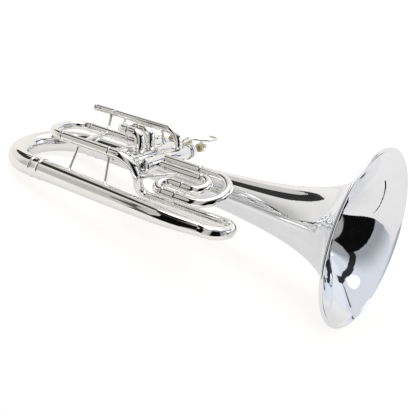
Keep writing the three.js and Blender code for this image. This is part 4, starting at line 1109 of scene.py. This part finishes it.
def window(value, low, high, soft, top=1):
    """As much as top between low and high, falling to nothing over soft degrees outside."""
    rise = node(tree, "MapRange", (value, low - soft, low, 0, top), interpolation_type="SMOOTHSTEP")
    return node(tree, "MapRange", (value, high, high + soft, rise, 0), interpolation_type="SMOOTHSTEP")


def beside(value, place, half, soft, top=1):
    """As much as top within half of place, falling to nothing over soft degrees outside."""
    off = node(tree, "Math", (value, place), operation="SUBTRACT")
    size = node(tree, "Math", (off,), operation="ABSOLUTE")
    past = node(tree, "Math", (size, half), operation="SUBTRACT")
    return node(tree, "MapRange", (past, 0, soft, top, 0), interpolation_type="SMOOTHSTEP")


def table_curve(value, table, low, high):
    """A smooth curve through a table of (degrees, value), whose values lie between low and high."""
    begin, end = table[0][0], table[-1][0]
    curve = node(tree, "FloatCurve", {"Value": node(tree, "MapRange", (value, begin, end, 0, 1))})
    line = curve.mapping.curves[0]
    rows = [((x - begin) / (end - begin), (y - low) / (high - low)) for x, y in table]
    line.points[0].location, line.points[-1].location = rows[0], rows[-1]
    for row in rows[1:-1]:
        line.points.new(*row)
    for point in line.points:
        point.handle_type = "AUTO_CLAMPED"
    curve.mapping.update()
    return node(tree, "Math", (curve, high - low, low), operation="MULTIPLY_ADD")


print("tent tables:", len(CLOTH), len(ARCH), len(ARCH_HALF), len(SLIT), len(THIN_LINE), len(CORNER), "rows")

# %% The tent
sky = node(tree, "SeparateXYZ", (node(tree, "TexCoord").outputs["Generated"],)).outputs
bearing = node(tree, "Math", (sky[1], sky[0]), operation="ARCTAN2")
rise = node(tree, "Math", (sky[2],), operation="ARCSINE")
compass, height = [node(tree, "Math", (angle,), operation="DEGREES") for angle in (bearing, rise)]
past_cut = node(tree, "Math", (compass, COMPASS_CUT), operation="SUBTRACT")
compass = node(tree, "Math", (past_cut, 360), operation="FLOORED_MODULO")

opening = window(height, -60, 59, 3, window(compass, 195.5, 242.5, 1.2))
slit = window(height, -60, 42, 4, beside(compass, table_curve(height, SLIT, 100, 160), SLIT_HALF, 1.2))
thin_line = window(height, -30, 33, 3,
                   beside(compass, table_curve(height, THIN_LINE, 90, 150), THIN_HALF, 0.8, DARK_LINE))
corner_line = window(height, 4, 31, 1.5,
                     beside(compass, table_curve(height, CORNER, 300, 340), CORNER_HALF, 0.8, DARK_LINE))
near_side, far_side = window(compass, 42, 130, 5, DARK_CLOTH), window(compass, 240, 328, 3, DARK_CLOTH)
arch_here = node(tree, "Math", (near_side, far_side), operation="MAXIMUM")
arch_middle, arch_half = table_curve(compass, ARCH, 0, 60), table_curve(compass, ARCH_HALF, 0, 14)
arch = beside(height, arch_middle, arch_half, 1.2, arch_here)
dark = opening
for feature in (slit, arch, thin_line, corner_line):
    dark = node(tree, "Math", (dark, feature), operation="MAXIMUM")

spot = node(tree, "CombineXYZ", (compass, height))
from_lamp = node(tree, "VectorMath", (spot, SOFTBOX), operation="DISTANCE").outputs["Value"]
softbox = beside(from_lamp, 0, SOFTBOX_HALF, 2)
roof = window(height, 24, 95, 3, window(compass, 36, 64, 4))
shade = node(tree, "Math", (roof, ROOF_SHADE, 1), operation="MULTIPLY_ADD")
cloth = node(tree, "Math", (table_curve(compass, CLOTH, 0, 1.2), shade, softbox), operation="MULTIPLY_ADD")
tent = node(tree, "MapRange", (dark, 0, 1, cloth, BLACK))
print("tent:", len(tree.nodes), "nodes")

# %% What each ray sees
rays = node(tree, "LightPath").outputs
in_metal = node(tree, "Math", (rays["Is Glossy Ray"], rays["Is Transmission Ray"]), operation="MAXIMUM")
tint = node(tree, "Mix", {0: window(compass, 240, 330, 30), 6: colour("#FFFCF7"), 7: colour("#F5F8FF")},
            data_type="RGBA").outputs[2]
soft_light = node(tree, "Background", (colour("#FAFBFF"), 0.8))
tent_cloth = node(tree, "Background", (tint, tent))
white_room = node(tree, "Background", (colour("#FFFFFF"), 1))
lit = node(tree, "MixShader", (in_metal, soft_light, tent_cloth))
seen = node(tree, "MixShader", (rays["Is Camera Ray"], lit, white_room))
node(tree, "OutputWorld", (seen,))
print("world:", len(tree.nodes), "nodes")

# %% Lamp
LAMP_SIZE, LAMP_POWER = 1.6, 14
LAMP_PLACE = Vector((-0.4, 0.3, 1.9))

lamp_data = bpy.data.lights.new("overhead_softbox", "AREA")
lamp_data.shape, lamp_data.size, lamp_data.energy = "SQUARE", LAMP_SIZE, LAMP_POWER
lamp = placed("overhead_softbox", lamp_data)
lamp.location = LAMP_PLACE
lamp.rotation_mode = "QUATERNION"
lamp.rotation_quaternion = (-LAMP_PLACE).to_track_quat("-Z", "Y")
print("lamp:", LAMP_POWER, "watts")

# %% [markdown]
# The colours are meant to render as they are written, so the view transform is the plain one.

# %% Finish
bpy.context.scene.view_settings.view_transform = "Standard"
